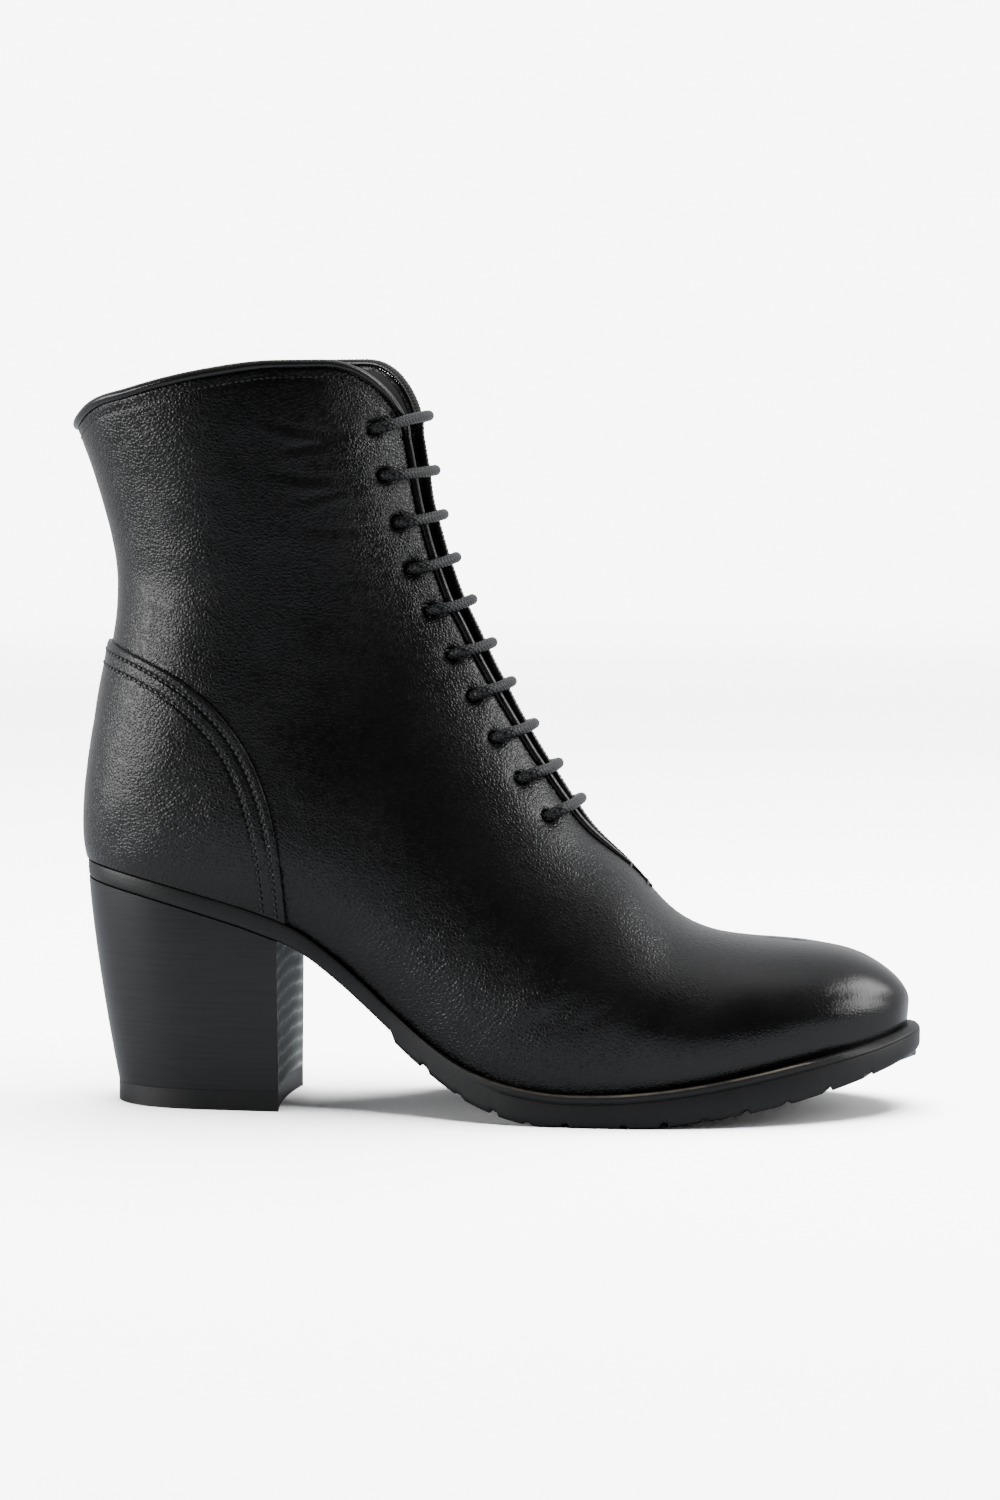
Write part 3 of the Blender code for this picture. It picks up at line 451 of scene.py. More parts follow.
def calfLeather(name, grainMm, depthMm, colours, roughLow, roughHigh):
    # Aniline calf, milled and hand polished: nearly black, with fine pebbles parted by sharp
    # creases that sparkle in the highlights, pores, and polish that comes and goes. The pebbles
    # are drawn out a little along the skin, and the toe is rubbed nearly smooth and waxed.
    finish, tree, shader = newFinish(name, colours[0], roughLow, calf["ior"])
    place = objectPlace(tree)
    drawn = node(tree, "ShaderNodeMapping",
                 {"Vector": place, "Rotation": calf["turn"], "Scale": calf["drawn"]}, vector_type="TEXTURE")
    edges = node(tree, "ShaderNodeTexVoronoi", {"Vector": drawn, "Scale": 1000.0 / grainMm}, "Distance",
                 feature="DISTANCE_TO_EDGE")
    pebble = remap(tree, edges, 0.0, calf["pebbleEdge"], ease="SMOOTHSTEP")
    poreSize, poreShare = calf["pores"]
    height = maths(tree, "MULTIPLY_ADD", noise(tree, drawn, poreSize * grainMm, 1.0), poreShare, pebble)
    along = node(tree, "ShaderNodeSeparateXYZ", {"Vector": place}, "X")
    start, end, left = calf["toe"]
    addBump(tree, shader, height, depthMm, remap(tree, along, start, end, 1.0, left))
    polish = noise(tree, place, calf["polishMm"], 3.0, 0.55)
    start, end, left = calf["wax"]
    rough = maths(tree, "MULTIPLY", remap(tree, polish, 0.3, 0.7, roughLow, roughHigh),
                  remap(tree, along, start, end, 1.0, left))
    plug(tree, shader, {"Base Color": ramp(tree, polish, (0.35, colours[0]), (0.7, colours[1])),
                        "Roughness": rough})
    return finish


def moulded(name, colours, roughness, speckMm, depthMm, ior=1.48, mottleMm=9.0):
    # rubber, lining or thread: matt, with a fine even tooth and faint mottling
    finish, tree, shader = newFinish(name, colours[0], roughness, ior)
    place = objectPlace(tree)
    addBump(tree, shader, noise(tree, place, speckMm, 4.0), depthMm)
    mottle = noise(tree, place, mottleMm, 3.0)
    plug(tree, shader, {"Base Color": ramp(tree, mottle, (0.3, colours[0]), (0.75, colours[1]))})
    return finish


stack = {
    "liftMm": 4.1,
    "fibreMm": 1.6,
    "streak": (40.0, 40.0, 1400.0),  # stretch along x, y and z: level streaks 0.7 mm high
    "breast": (0.75, 0.9),  # faces that look this far forward are the breast
    "glue": (1.2, 1.36),
    "roughness": (0.36, 0.85),  # of the side and of the breast
    "relief": (0.05, 0.6),  # depth in mm and strength of the streaks
}


def stackedLeather():
    # Heel lifts of glued leather, sanded, inked and waxed: fine level streaks, and on the breast,
    # which is left rough, a grey bloom with a thin pale glue line at each lift.
    finish, tree, shader = newFinish("stacked_leather_heel", "#0a0a0b", 0.4, 1.42)
    place = objectPlace(tree)
    flat = node(tree, "ShaderNodeMapping", {"Vector": place, "Scale": stack["streak"]})
    streak = noise(tree, flat, 1000.0, 3.0)  # one lump per stretched metre
    perMetre = 1000.0 / stack["liftMm"]
    lifts = node(tree, "ShaderNodeTexWave", {"Vector": place, "Scale": perMetre * math.pi / 10.0,
                 "Distortion": 3.2, "Detail": 3.0, "Detail Scale": 0.6}, "Fac", bands_direction="Z")
    bloom = maths(tree, "MULTIPLY_ADD", noise(tree, place, stack["fibreMm"], 4.0, 0.65), 0.6, lifts)
    grey = ramp(tree, bloom, (0.2, "#626565"), (0.95, "#787b7b"), (1.0, "#808484"))
    pale = node(tree, "ShaderNodeMix", {"Factor": remap(tree, bloom, *stack["glue"]), 6: grey,
                7: linear("#b2b5b5")}, 2, data_type="RGBA")
    dark = ramp(tree, streak, (0.3, "#101011"), (0.75, "#1b1b1d"))
    normal = node(tree, "ShaderNodeTexCoord", {}, "Normal")
    ahead = node(tree, "ShaderNodeSeparateXYZ", {"Vector": normal}, "X")
    breast = remap(tree, ahead, *stack["breast"])
    colour = node(tree, "ShaderNodeMix", {"Factor": breast, 6: dark, 7: pale}, 2, data_type="RGBA")
    rough = remap(tree, breast, 0.0, 1.0, *stack["roughness"])
    plug(tree, shader, {"Base Color": colour, "Roughness": rough})
    addBump(tree, shader, streak, *stack["relief"])
    return finish


braidMap = {"name": "cord", "turns": (0.7, -0.7), "waves": 0.32, "wobble": 0.6, "depthMm": 0.2}


def waxedCord():
    # Round braided cotton, waxed: charcoal, with a fine diagonal braid that the wax half fills.
    finish, tree, shader = newFinish("waxed_cotton_cord", "#0e0f10", 0.38, 1.45)
    place = node(tree, "ShaderNodeUVMap", {}, uv_map=braidMap["name"])
    strands = []
    for turn in braidMap["turns"]:
        turned = node(tree, "ShaderNodeMapping", {"Vector": place, "Rotation": (0.0, 0.0, turn)})
        strands.append(node(tree, "ShaderNodeTexWave", {"Vector": turned, "Scale": braidMap["waves"],
                       "Distortion": braidMap["wobble"]}, "Fac"))
    braid = maths(tree, "MULTIPLY", *strands)
    addBump(tree, shader, braid, braidMap["depthMm"])
    plug(tree, shader, {"Base Color": ramp(tree, braid, (0.0, "#08090a"), (0.8, "#191a1b"))})
    return finish


upperLeather = calfLeather("black_calf_leather", 0.9, 0.07, ("#050505", "#080808"), 0.277, 0.33)
counterLeather = calfLeather("black_calf_counter", 0.95, 0.07, ("#070707", "#0c0c0c"), 0.277, 0.3)
# the rolled edge gets a lighter base colour than the upper: painted reflection of the bright backdrop along
# its top
beadLeatherPaintedSheen = calfLeather("rolled_edge_leather", 0.8, 0.015, ("#0f0f0e", "#181816"), 0.18, 0.24)
liningLeather = moulded("pigskin_lining", ("#090908", "#0f0e0e"), 0.7, 0.8, 0.06)
soleRubber = moulded("black_sole_rubber", ("#0a0a0a", "#0f0f0f"), 0.45, 0.7, 0.04, 1.42)
# pale rim colour: partly worn leather, partly a painted highlight where the sole's ledge catches the light
weltEdgeWearAndHighlight = moulded("worn_welt_edge_and_painted_highlight", ("#12100e", "#3f3931"), 0.5, 0.5, 0.04)
heelStack = stackedLeather()
lacing = waxedCord()
thread = moulded("waxed_polyester_thread", ("#1b1c1c", "#2b2c2c"), 0.34, 0.25, 0.03)
print("finishes made")


# Throat, collar and holes

throat = {
    "row": 6.65,
    "growRows": 1.5,  # the bead thickens over these rows
    "tipRadius": 0.3,
    "beadRadius": 1.15,
    "spare": 0.6,
    "set": {outer: 3.6, inner: 0.0},  # how much further back each edge lies above the throat's end
    "setRows": 2.4,
    "open": {outer: 4.5, inner: 0.3},  # extra opening at the collar
}
collar = {
    "x": np.array([-121.0, -112.0, -99.0, -86.0, -73.0, -61.0, -50.0, -20.0]),
    "z": np.array([189.5, 197.0, 201.3, 204.7, 207.2, 208.9, 209.2, 209.2]),
    "corner": {outer: (-24.0, 22.3, 30.0), inner: (-21.5, 18.5, 28.0)},  # x, reach, drop
    "steepest": 0.999,  # share of the corner's reach where its fall stops growing
    "beadDrop": 2.6,
    "startRow": 18.0,
    "searchSteps": 321,
}
laceHoles = {
    "columns": ("row", "setback", "barRise"),
    "holes": (
        (9.0, 16.5, -0.30), (9.8, 15.7, -0.32), (10.7, 15.0, -0.28), (11.7, 13.6, -0.22),
        (13.0, 13.1, -0.34), (14.9, 13.6, -0.45), (16.1, 15.2, -0.20), (17.5, 16.2, -0.18),
        (18.95, 19.0, -0.12), (20.25, 20.6, 0.25),
    ),
    "radius": 2.2,
    "lip": (0.12, 0.05),  # how much narrower the hole gets at its lip and at its far end
}
holeAt = columnsOf(laceHoles["columns"], laceHoles["holes"])
holeCentres, holeOuts = {}, {}
for side in (outer, inner):
    holeShare = fromFront(holeAt["row"], side, holeAt["setback"])
    holeCentres[side] = onLast(holeAt["row"], holeShare, side)
    holeOuts[side] = outOf(holeAt["row"], holeShare, side)


def throatGrow(at, rows):
    return smoothStep(at, throat["row"], throat["row"] + rows)


def beadRadius(at):
    grow = throatGrow(at, throat["growRows"])
    return throat["tipRadius"] + (throat["beadRadius"] - throat["tipRadius"]) * grow


def throatGap(at, side):
    # distance of the leather's throat edge from the front line
    opened = np.clip((at - throat["row"]) / (lastRow - throat["row"]), 0.0, 1.0) ** 2
    setBack = throat["set"][side] * throatGrow(at, throat["setRows"]) + throat["open"][side] * opened
    return 2.0 * beadRadius(at) + throat["spare"] * throatGrow(at, throat["growRows"]) + setBack


def collarEdge(x, side):
    # height of the leather's edge under the collar bead, falling in a quarter ellipse at the front
    cornerX, cornerReach, cornerDrop = collar["corner"][side]
    turn = np.clip((x - cornerX + cornerReach) / cornerReach, 0.0, collar["steepest"])
    drop = collar["beadDrop"] + cornerDrop * (1.0 - np.sqrt(1.0 - turn**2))
    return smoothLine(x, collar["x"], collar["z"]) - drop


def collarRows(columns, side):
    # row at which each column of the upper reaches the collar edge
    at = np.linspace(collar["startRow"], lastRow, collar["searchSteps"])[:, None] + 0.0 * columns
    point = onLast(at, columns * fromFront(at, side, throatGap(at, side)), side)
    over = point[..., 2] - collarEdge(point[..., 0], side)
    first = np.argmax(over >= 0.0, axis=0)
    number = np.arange(len(columns))
    t = over[first - 1, number] / (over[first - 1, number] - over[first, number])
    return at[first - 1, number] + t * (at[first, number] - at[first - 1, number])


# Wear and making of the leather, as small rises and falls of its face

relief = {
    "holeDimple": (0.55, 3.4),  # depth, reach
    "creaseShare": 0.45,
    "creaseFade": (-0.15, 0.35, 0.6, 1.15),  # shares of its run where a crease sets in and dies away
    "ridge": (1.9, 1.2),  # place and half width of the ridge, in half widths of the trough
    # side, start x z, end x z, bow, half width, depth of trough, share of the ridge beside it
    "creases": (
        (outer, 8.0, 24.0, 34.0, 36.0, 1.6, 2.8, 0.85, 0.9),
        (outer, 22.0, 27.0, 41.0, 37.0, -1.2, 2.4, 0.75, 0.9),
        (outer, 14.0, 36.0, 30.0, 49.0, 1.5, 3.4, 0.4, 0.8),
        (outer, 36.0, 24.0, 58.0, 33.0, 2.2, 3.2, 0.4, 0.8),
        (inner, 10.0, 25.0, 37.0, 38.0, 1.4, 2.8, 0.5, 0.9),
        (inner, 26.0, 26.0, 47.0, 38.0, -1.4, 2.5, 0.45, 0.9),
        (inner, 40.0, 23.0, 60.0, 33.0, 1.6, 3.1, 0.4, 0.8),
        (outer, -36.0, 188.5, -62.0, 193.0, 1.2, 1.3, 0.6, 0.8),
        (outer, -36.0, 186.0, -58.0, 184.0, -1.0, 1.2, 0.55, 0.8),
        (outer, -33.0, 176.5, -60.0, 178.5, 1.0, 1.3, 0.55, 0.8),
        (outer, -33.0, 174.0, -52.0, 170.5, -0.8, 1.2, 0.5, 0.8),
        (outer, -29.0, 163.5, -50.0, 163.0, 0.9, 1.2, 0.5, 0.8),
        (outer, -26.0, 150.5, -43.0, 148.0, 0.8, 1.2, 0.45, 0.8),
        (inner, -36.0, 188.0, -60.0, 191.0, 1.2, 1.3, 0.6, 0.8),
        (inner, -35.0, 185.5, -55.0, 182.5, -1.0, 1.2, 0.5, 0.8),
        (inner, -33.0, 176.5, -58.0, 177.5, 1.0, 1.3, 0.5, 0.8),
        (inner, -29.0, 163.5, -48.0, 162.0, 0.9, 1.2, 0.5, 0.8),
        (outer, -104.0, 150.0, -70.0, 142.0, 2.0, 5.5, 0.55, 0.8),
        (inner, -104.0, 150.0, -70.0, 143.0, 2.0, 5.5, 0.55, 0.8),
        (outer, -100.0, 164.0, -74.0, 160.0, -1.5, 5.0, 0.30, 0.6),
        (inner, -100.0, 165.0, -76.0, 160.0, -1.5, 5.0, 0.30, 0.6),
    ),
    # side, centre x z, reach, rise
    "swells": (
        (outer, 63.0, 40.0, 10.0, -0.7), (inner, 63.0, 41.0, 10.0, -0.6),
        (outer, 40.0, 30.0, 14.0, 0.35), (outer, -45.0, 150.0, 26.0, -0.5),
        (outer, -86.0, 172.0, 20.0, 0.4), (inner, -60.0, 155.0, 26.0, -0.5),
        (outer, -40.0, 95.0, 30.0, 0.5), (inner, -40.0, 95.0, 30.0, 0.5),
    ),
    # rise, length, turn, phase
    "waves": ((0.09, 27.0, 0.4, 0.6), (0.05, 16.0, 1.9, 1.1), (0.025, 9.0, 0.9, 2.3)),
    "waveAspect": 1.7,
}


def leatherRelief(points, side):
    # sum of dimples at the holes, long soft waves, round swells, and creases: each crease is a
    # trough across a bowed line, with a lower ridge beside it, fading at both ends
    x, z = points[..., 0], points[..., 2]
    rise = np.zeros(x.shape)
    depth, reach = relief["holeDimple"]
    for centre in holeCentres[side]:
        rise -= depth * np.exp(-np.sum((points - centre) ** 2, axis=-1) / reach**2)
    for height, length, turn, phase in relief["waves"]:
        step = 2.0 * math.pi / length
        along = (x * math.cos(turn) + z * math.sin(turn)) * step
        across = (z * math.cos(turn) - x * math.sin(turn)) * step / relief["waveAspect"]
        rise += height * np.sin(along + phase + side) * np.cos(across + 2.0 * phase)
    for ownSide, centreX, centreZ, reach, height in relief["swells"]:
        if ownSide == side:
            rise += height * np.exp(-((x - centreX) ** 2 + (z - centreZ) ** 2) / reach**2)
    setIn, full, fading, gone = relief["creaseFade"]
    ridgeAt, ridgeWidth = relief["ridge"]
    for ownSide, startX, startZ, endX, endZ, bow, width, depth, ridge in relief["creases"]:
        if ownSide == side:
            runX, runZ = endX - startX, endZ - startZ
            length = math.hypot(runX, runZ)
            t = ((x - startX) * runX + (z - startZ) * runZ) / length**2
            bowed = bow * np.sin(math.pi * np.clip(t, 0.0, 1.0))
            off = (((z - startZ) * runX - (x - startX) * runZ) / length - bowed) / width
            fade = smoothStep(t, setIn, full) * (1.0 - smoothStep(t, fading, gone))
            trough = np.exp(-(off**2)) - ridge * np.exp(-(((off - ridgeAt) / ridgeWidth) ** 2))
            rise -= relief["creaseShare"] * depth * fade * trough
    return rise


upper = {
    "wall": 2.0,
    "tuck": 1.8,  # leather that runs on behind the edge of the sole
    "rows": (70, 105, 34, 44),  # over toe, instep, shaft and collar
    "columns": 104,
    "columnPower": 1.08,
    "toeEdge": (1.0, 0.9),  # up to this row the edge column lies at least this far up
    "bridge": 4,
    "rimRadius": 0.65,
    "rimFadeRows": 0.8,
    "rimShort": 0.15,  # what the rim leaves of the wall for the lining
    "rimBehind": 2.0,  # how far the rim runs on between face and lining
    "holeDepth": 1.9,
    "collarGroove": (2.1, 0.5, 0.26, 150.0),  # of the sewn line: below the edge, half width, depth, lowest z
    "backSeam": (0.55, 0.4, 118.0, 126.0),  # half width, depth, and heights over which it sets in
}
lining = {"detail": 0.5, "holeEase": 0.3, "holeDepth": 0.1}


def upperGrid(side, detail=1.0):
    # rows from toe tip to collar, columns from the sole line or back seam to the throat edge
    toeCount, instepCount, shaftCount, collarCount = (int(count * detail) for count in upper["rows"])
    rows = np.concatenate([np.linspace(0.0, throat["row"], toeCount),
                           np.linspace(throat["row"], backRow, instepCount)[1:],
                           np.linspace(backRow, collar["startRow"], shaftCount)[1:]])
    columns = crowded(int(upper["columns"] * detail), upper["columnPower"])
    climb = np.linspace(0.0, 1.0, collarCount)[1:, None]
    at = np.concatenate([rows[:, None] + 0.0 * columns,
                         collar["startRow"] + climb * (collarRows(columns, side) - collar["startRow"])])
    edge = fromFront(at, side, throatGap(at, side))
    toeRow, least = upper["toeEdge"]
    edge = np.where(at < toeRow, np.maximum(edge, least), edge)
    return at, edge * columns, toeCount - 1


def dressedPoints(at, share, side, lift=0.0):
    # points of the leather's face with its relief, sewn collar line and back seam
    point = onLast(at, share, side)
    height = point[..., 2]
    rise = leatherRelief(point, side)
    below, width, depth, lowest = upper["collarGroove"]
    under = collarEdge(point[..., 0], side) - height
    rise -= depth * np.exp(-(((under - below) / width) ** 2)) * (height > lowest)
    width, depth, start, full = upper["backSeam"]
    seam = np.exp(-((share * girth(at, side) / width) ** 2)) * smoothStep(height, start, full)
    rise -= depth * seam * (at > backRow)
    return point + outOf(at, share, side) * (rise + lift)[..., None]


def edgeFrames(line, outs, inside):
    # along an edge, the way off the leather in the leather's own plane
    away = unit(np.cross(unit(np.gradient(line, axis=0)), outs))
    return away * np.sign(np.sum(away * (line - inside), axis=1))[:, None]


def rolledEdge(line, outs, away, radius, steps=6):
    # quarter round that turns the leather's face over its edge
    turns = np.linspace(0.0, math.pi / 2.0, steps)
    return [line + radius * (away * math.sin(a) - outs * (1.0 - math.cos(a))) for a in turns]


def throatAndCollar(side):
    # the leather's free edge, from the end of the throat up, and along the collar to the back
    at, share, end = upperGrid(side)
    edge = [np.concatenate([v[end:, -1], v[-1, -2::-1]]) for v in (at, share)]
    inside = [np.concatenate([v[end:-1, -3], v[-3, -3:-2], v[-3, -2::-1]]) for v in (at, share)]
    line, outs = dressedPoints(*edge, side), outOf(*edge, side)
    return line, outs, edgeFrames(line, outs, onLast(*inside, side)), edge[0]


def punchHoles(sink, ease, depth):
    # opens the lace holes of a dense sheet that lies sink behind the last: faces inside go, the ring
    # left round each is drawn onto a circle, and its edge is carried in as the wall of the hole
    outs = np.concatenate([holeOuts[outer], holeOuts[inner]])
    centres = (np.concatenate([holeCentres[outer], holeCentres[inner]]) - outs * sink + centreShift) * mm
    radius = (laceHoles["radius"] + ease) * mm
    lipInset, farInset = laceHoles["lip"]

    def change(work, places):
        work.verts.ensure_lookup_table()
        inside = [np.flatnonzero(np.sum((places - centre) ** 2, axis=1) < radius**2) for centre in centres]
        discs = [[work.verts[k] for k in disc] for disc in inside]
        for centre, out, gone in zip(centres, outs, discs):
            ring = dict.fromkeys(e for v in gone for f in v.link_faces for e in f.edges)
            bmesh.ops.delete(work, geom=gone, context="VERTS")
            ring = [e for e in ring if e.is_valid and e.is_boundary]
            for v in dict.fromkeys(v for e in ring for v in e.verts):
                off = np.array(v.co) - centre
                v.co = centre + unit(off - out * (off @ out)) * radius + out * (off @ out)
            for inset, deeper in ((lipInset, lipInset), (farInset, depth)):
                new = bmesh.ops.extrude_edge_only(work, edges=ring)["geom"]
                ring = [g for g in new if isinstance(g, bmesh.types.BMEdge)]
                for v in (g for g in new if isinstance(g, bmesh.types.BMVert)):
                    off = np.array(v.co) - centre
                    v.co = np.array(v.co) - unit(off - out * (off @ out)) * inset * mm - out * deeper * mm
    return change


def upperSheets(detail, lift):
    # both halves of one face of the upper, the vamp in front of the throat and the tucked foot
    grids = []
    part = np.linspace(0.0, 1.0, upper["bridge"])
    for side in (outer, inner):
        at, share, end = upperGrid(side, detail)
        face = dressedPoints(at, share, side, lift)
        tucked = face[:, :1] + unit(face[:, :1] - face[:, 1:2]) * upper["tuck"]
        tucked = np.where((at[:, 0] > backRow)[:, None, None], face[:, :1], tucked)
        grids.append((np.concatenate([tucked, face], axis=1), side == inner, False))
        bridgeAt = at[:end + 1, -1:] + 0.0 * part
        bridgeShare = share[:end + 1, -1:] * (1.0 - part) + part
        grids.append((dressedPoints(bridgeAt, bridgeShare, side, lift), side == inner, False))
    return grids


def makeUpper():
    # outer face of the last with its relief, and a rolled rim along throat and collar
    grids = upperSheets(1.0, 0.0)
    radius = upper["rimRadius"]
    for side in (outer, inner):
        line, outs, away, edgeAt = throatAndCollar(side)
        fade = throatGrow(edgeAt, upper["rimFadeRows"])[:, None]
        rim = rolledEdge(line, outs, away, fade * radius)
        rim.append(rim[-1] - outs * (upper["wall"] - radius - upper["rimShort"]) * fade)
        rim.append(rim[-1] - away * (radius + upper["rimBehind"]) * fade)
        grids.append((np.stack(rim, axis=1), side == inner, False))
    pieceFrom("upper", grids, upperLeather, ["upper"],
              change=punchHoles(relief["holeDimple"][0], 0.0, upper["holeDepth"]))


def makeLining():
    # inner face of the upper, a wall's thickness in
    grids = [(grid, not flip, closed) for grid, flip, closed in upperSheets(lining["detail"], -upper["wall"])]
    pieceFrom("lining", grids, liningLeather,
              change=punchHoles(upper["wall"], lining["holeEase"], lining["holeDepth"]))


makeUpper()
makeLining()


# Rolled bead along throat and collar

bead = {
    "sides": 14,
    "step": 0.5,
    "sink": (0.45, -0.25),  # behind the leather's face at the collar and at the throat
    "clear": 0.2,
    "rimShare": 0.4,  # share of the leather's rim that the bead stands off
    "collarShare": 0.16,  # how much thicker it is along the collar
    "corner": (-6, 10),  # points of the edge, from the corner, over which throat turns to collar
    "softenings": 6,
    "stitchPitch": 1.3,
    "stitchDepth": 0.09,
}


def makeBead():
    # round bead along both throat edges and the collar; its inner-side stretch shows the whipped
    # thread that closes it as a small regular swelling
    lines, radii, whips = [], [], []
    for side in (outer, inner):
        line, outs, away, edgeAt = throatAndCollar(side)
        corner = np.argmax(edgeAt)
        alongCollar = smoothStep(np.arange(len(line)), corner + bead["corner"][0], corner + bead["corner"][1])
        sink = bead["sink"][1] + (bead["sink"][0] - bead["sink"][1]) * alongCollar
        radius = beadRadius(edgeAt) * (1.0 + bead["collarShare"] * alongCollar)
        clear = radius + bead["clear"] + upper["rimRadius"] * bead["rimShare"]
        centre = line + away * clear[:, None] - outs * sink[:, None]
        down = side == inner
        lines.append(centre[-2::-1] if down else centre)
        radii.append(radius[-2::-1] if down else radius)
        whips.append(np.full(len(lines[-1]), float(down)))
    path = np.concatenate(lines)
    run = runAlong(path)
    even, at = evenPath(path, bead["step"])
    soften(even, bead["softenings"])
    whip = np.interp(at, run, np.concatenate(whips)) * np.sin(2.0 * math.pi * at / bead["stitchPitch"])
    size = np.interp(at, run, np.concatenate(radii)) * (1.0 + whip * bead["stitchDepth"])
    pieceFrom("edge_bead", [(tubeGrid(even, size, bead["sides"]), False, True)], beadLeatherPaintedSheen,
              ["edge_piping"])


makeBead()


# Heel counter, its edge and two sewn rows

counter = {
    "corner": (-111.6, 54.0),
    "reach": 54.5,
    "height": 76.7,
    "power": 3.0,
    "slant": 0.3,  # fall of the top edge, per mm forward
    "stand": 1.3,  # face of the overlay above the upper
    "edgeRadius": 0.55,
    "footGap": 0.25,
    "rows": 250,
    "columns": 74,
    "columnPower": 1.5,
    "searchRows": np.linspace(9.5, 18.5, 1801),
    "searchShares": np.linspace(0.0, 0.8, 700),
    "leastShare": 0.002,
    "sewnRows": (2.0, 6.0),  # in from the edge, seen from the side
    "sewnWidth": 0.6,
    "sewnDepth": 0.36,
    "sewnShare": 0.004,  # least share at which a row is sewn
}


def counterShare(at, side, shrink=0.0):
    # share at which each row leaves the leaning superellipse that bounds the counter in side view
    shares = counter["searchShares"]
    point = onLast(at[:, None] + 0.0 * shares, shares[None, :] + 0.0 * at[:, None], side)
    offX = np.maximum(point[..., 0] - counter["corner"][0], 0.0)
    offZ = np.maximum(point[..., 2] - counter["corner"][1] + counter["slant"] * offX, 0.0)
    over = (offX / (counter["reach"] - shrink)) ** counter["power"]
    over += (offZ / (counter["height"] - shrink)) ** counter["power"] - 1.0
    first = np.argmax(over > 0.0, axis=1)
    number = np.arange(len(at))
    before = np.maximum(first - 1, 0)
    t = over[number, before] / np.minimum(over[number, before] - over[number, first], -tiny)
    edge = shares[before] + np.clip(t, 0.0, 1.0) * (shares[first] - shares[before])
    return np.where(first == 0, 0.0, edge)


def counterRows(side, count, shrink=0.0):
    # rows from the first to the last that the counter covers
    at = counter["searchRows"]
    covered = at[counterShare(at, side, shrink) > counter["leastShare"]]
    return np.linspace(covered[0], covered[-1], count)


def makeCounter():
    # patch between the sole line or back seam and the curved edge, standing off the upper, with
    # a rounded edge and a shallow trough under each sewn row
    grids = []
    radius, stand = counter["edgeRadius"], counter["stand"]
    across = crowded(counter["columns"], counter["columnPower"])
    for side in (outer, inner):
        at = counterRows(side, counter["rows"])
        edge = counterShare(at, side)
        start = np.where(at < backRow, np.minimum(counter["footGap"] / girth(at, side), edge), 0.0)
        share = start[:, None] + (edge - start)[:, None] * across
        rowsAt = at[:, None] + 0.0 * share
        rise = np.zeros(share.shape)
        for inset in counter["sewnRows"]:
            sewn = counterShare(at, side, inset)[:, None]
            off = (share - sewn) * girth(at, side)[:, None] / counter["sewnWidth"]
            rise -= counter["sewnDepth"] * np.exp(-(off**2)) * (sewn > counter["sewnShare"])
        face = onLast(rowsAt, share, side)
        outs = outOf(rowsAt, share, side)
        face = face + outs * (stand + rise + leatherRelief(face, side))[..., None]
        line, lineOuts = face[:, -1], outs[:, -1]
        away = edgeFrames(line, lineOuts, face[:, -4])
        rim = rolledEdge(line, lineOuts, away, radius)[1:]
        rim.append(rim[-1] - lineOuts * stand)
        under = np.where((at < backRow)[:, None], face[:, 0] - outs[:, 0] * stand, face[:, 0])
        grid = np.concatenate([under[:, None], face, np.stack(rim, axis=1)], axis=1)
        grids.append((grid, side == inner, False))
    pieceFrom("heel_counter", grids, counterLeather, ["heel_counter"])


stitch = {
    # pitch, length, radius and lift of a thread bar
    "counter": (2.0, 1.4, 0.34, 0.0),
    "collar": (1.7, 1.15, 0.2, -0.22),
    "collarStart": 30.0,  # the collar row starts this far behind x = 0
    "counterRows": 400,
    "steps": 7,
    "sides": 6,
    "dive": 1.7,
    "narrow": 0.75,
    "weld": 0.0005,
}


def stitchGrids(path, outs, pitch, length, radius, lift):
    # small thread bars along a path: at w from -1 to 1 each lies radius * (1 - dive * w^4) high and is
    # radius * sqrt(1 - narrow * w^6) thick, so that it dives into the leather at its ends
    run = runAlong(path)
    centre = np.arange(pitch * 0.5, run[-1], pitch)
    w = np.linspace(-1.0, 1.0, stitch["steps"])
    at = centre[:, None] + w[None, :] * length * 0.5
    place, out = readLine(at, run, path), unit(readLine(at, run, outs))
    side = np.cross(unit(np.gradient(place, axis=1)), out)
    place = place + out * (lift + radius * (1.0 - stitch["dive"] * w**4))[None, :, None]
    turn = np.linspace(0.0, 2.0 * math.pi, stitch["sides"], endpoint=False)
    size = radius * np.sqrt(1.0 - stitch["narrow"] * w**6)
    ring = side[:, :, None] * np.cos(turn)[:, None] + out[:, :, None] * np.sin(turn)[:, None]
    ends = np.repeat(place[:, (0, -1), None], stitch["sides"], axis=2)
    bars = place[:, :, None] + ring * size[None, :, None, None]
    return [(bar, True, True) for bar in np.concatenate([ends[:, :1], bars, ends[:, 1:]], axis=1)]


def makeCounterStitches():
    grids = []
    for side in (outer, inner):
        for inset in counter["sewnRows"]:
            at = counterRows(side, stitch["counterRows"], inset)
            share = counterShare(at, side, inset)
            face, outs = onLast(at, share, side), outOf(at, share, side)
            lift = counter["stand"] - counter["sewnDepth"] + leatherRelief(face, side)
            grids += stitchGrids(face + outs * lift[:, None], outs, *stitch["counter"])
    pieceFrom("counter_stitches", grids, thread, weld=stitch["weld"])


def makeCollarStitches():
    # fine row that holds the lining, a little below the collar bead
    grids = []
    for side in (outer, inner):
        line, outs, away = throatAndCollar(side)[:3]
        first = np.searchsorted(-line[:, 0], stitch["collarStart"])
        path = (line - away * upper["collarGroove"][0])[first:]
        grids += stitchGrids(path, outs[first:], *stitch["collar"])
    pieceFrom("collar_stitches", grids, thread, weld=stitch["weld"])


tack = {"rows": (6.75, 7.15, 7.6), "skew": 0.05, "reach": 2.6, "radius": 0.32, "lift": 0.45, "dive": 2.2,
        "steps": 9, "sides": 8}


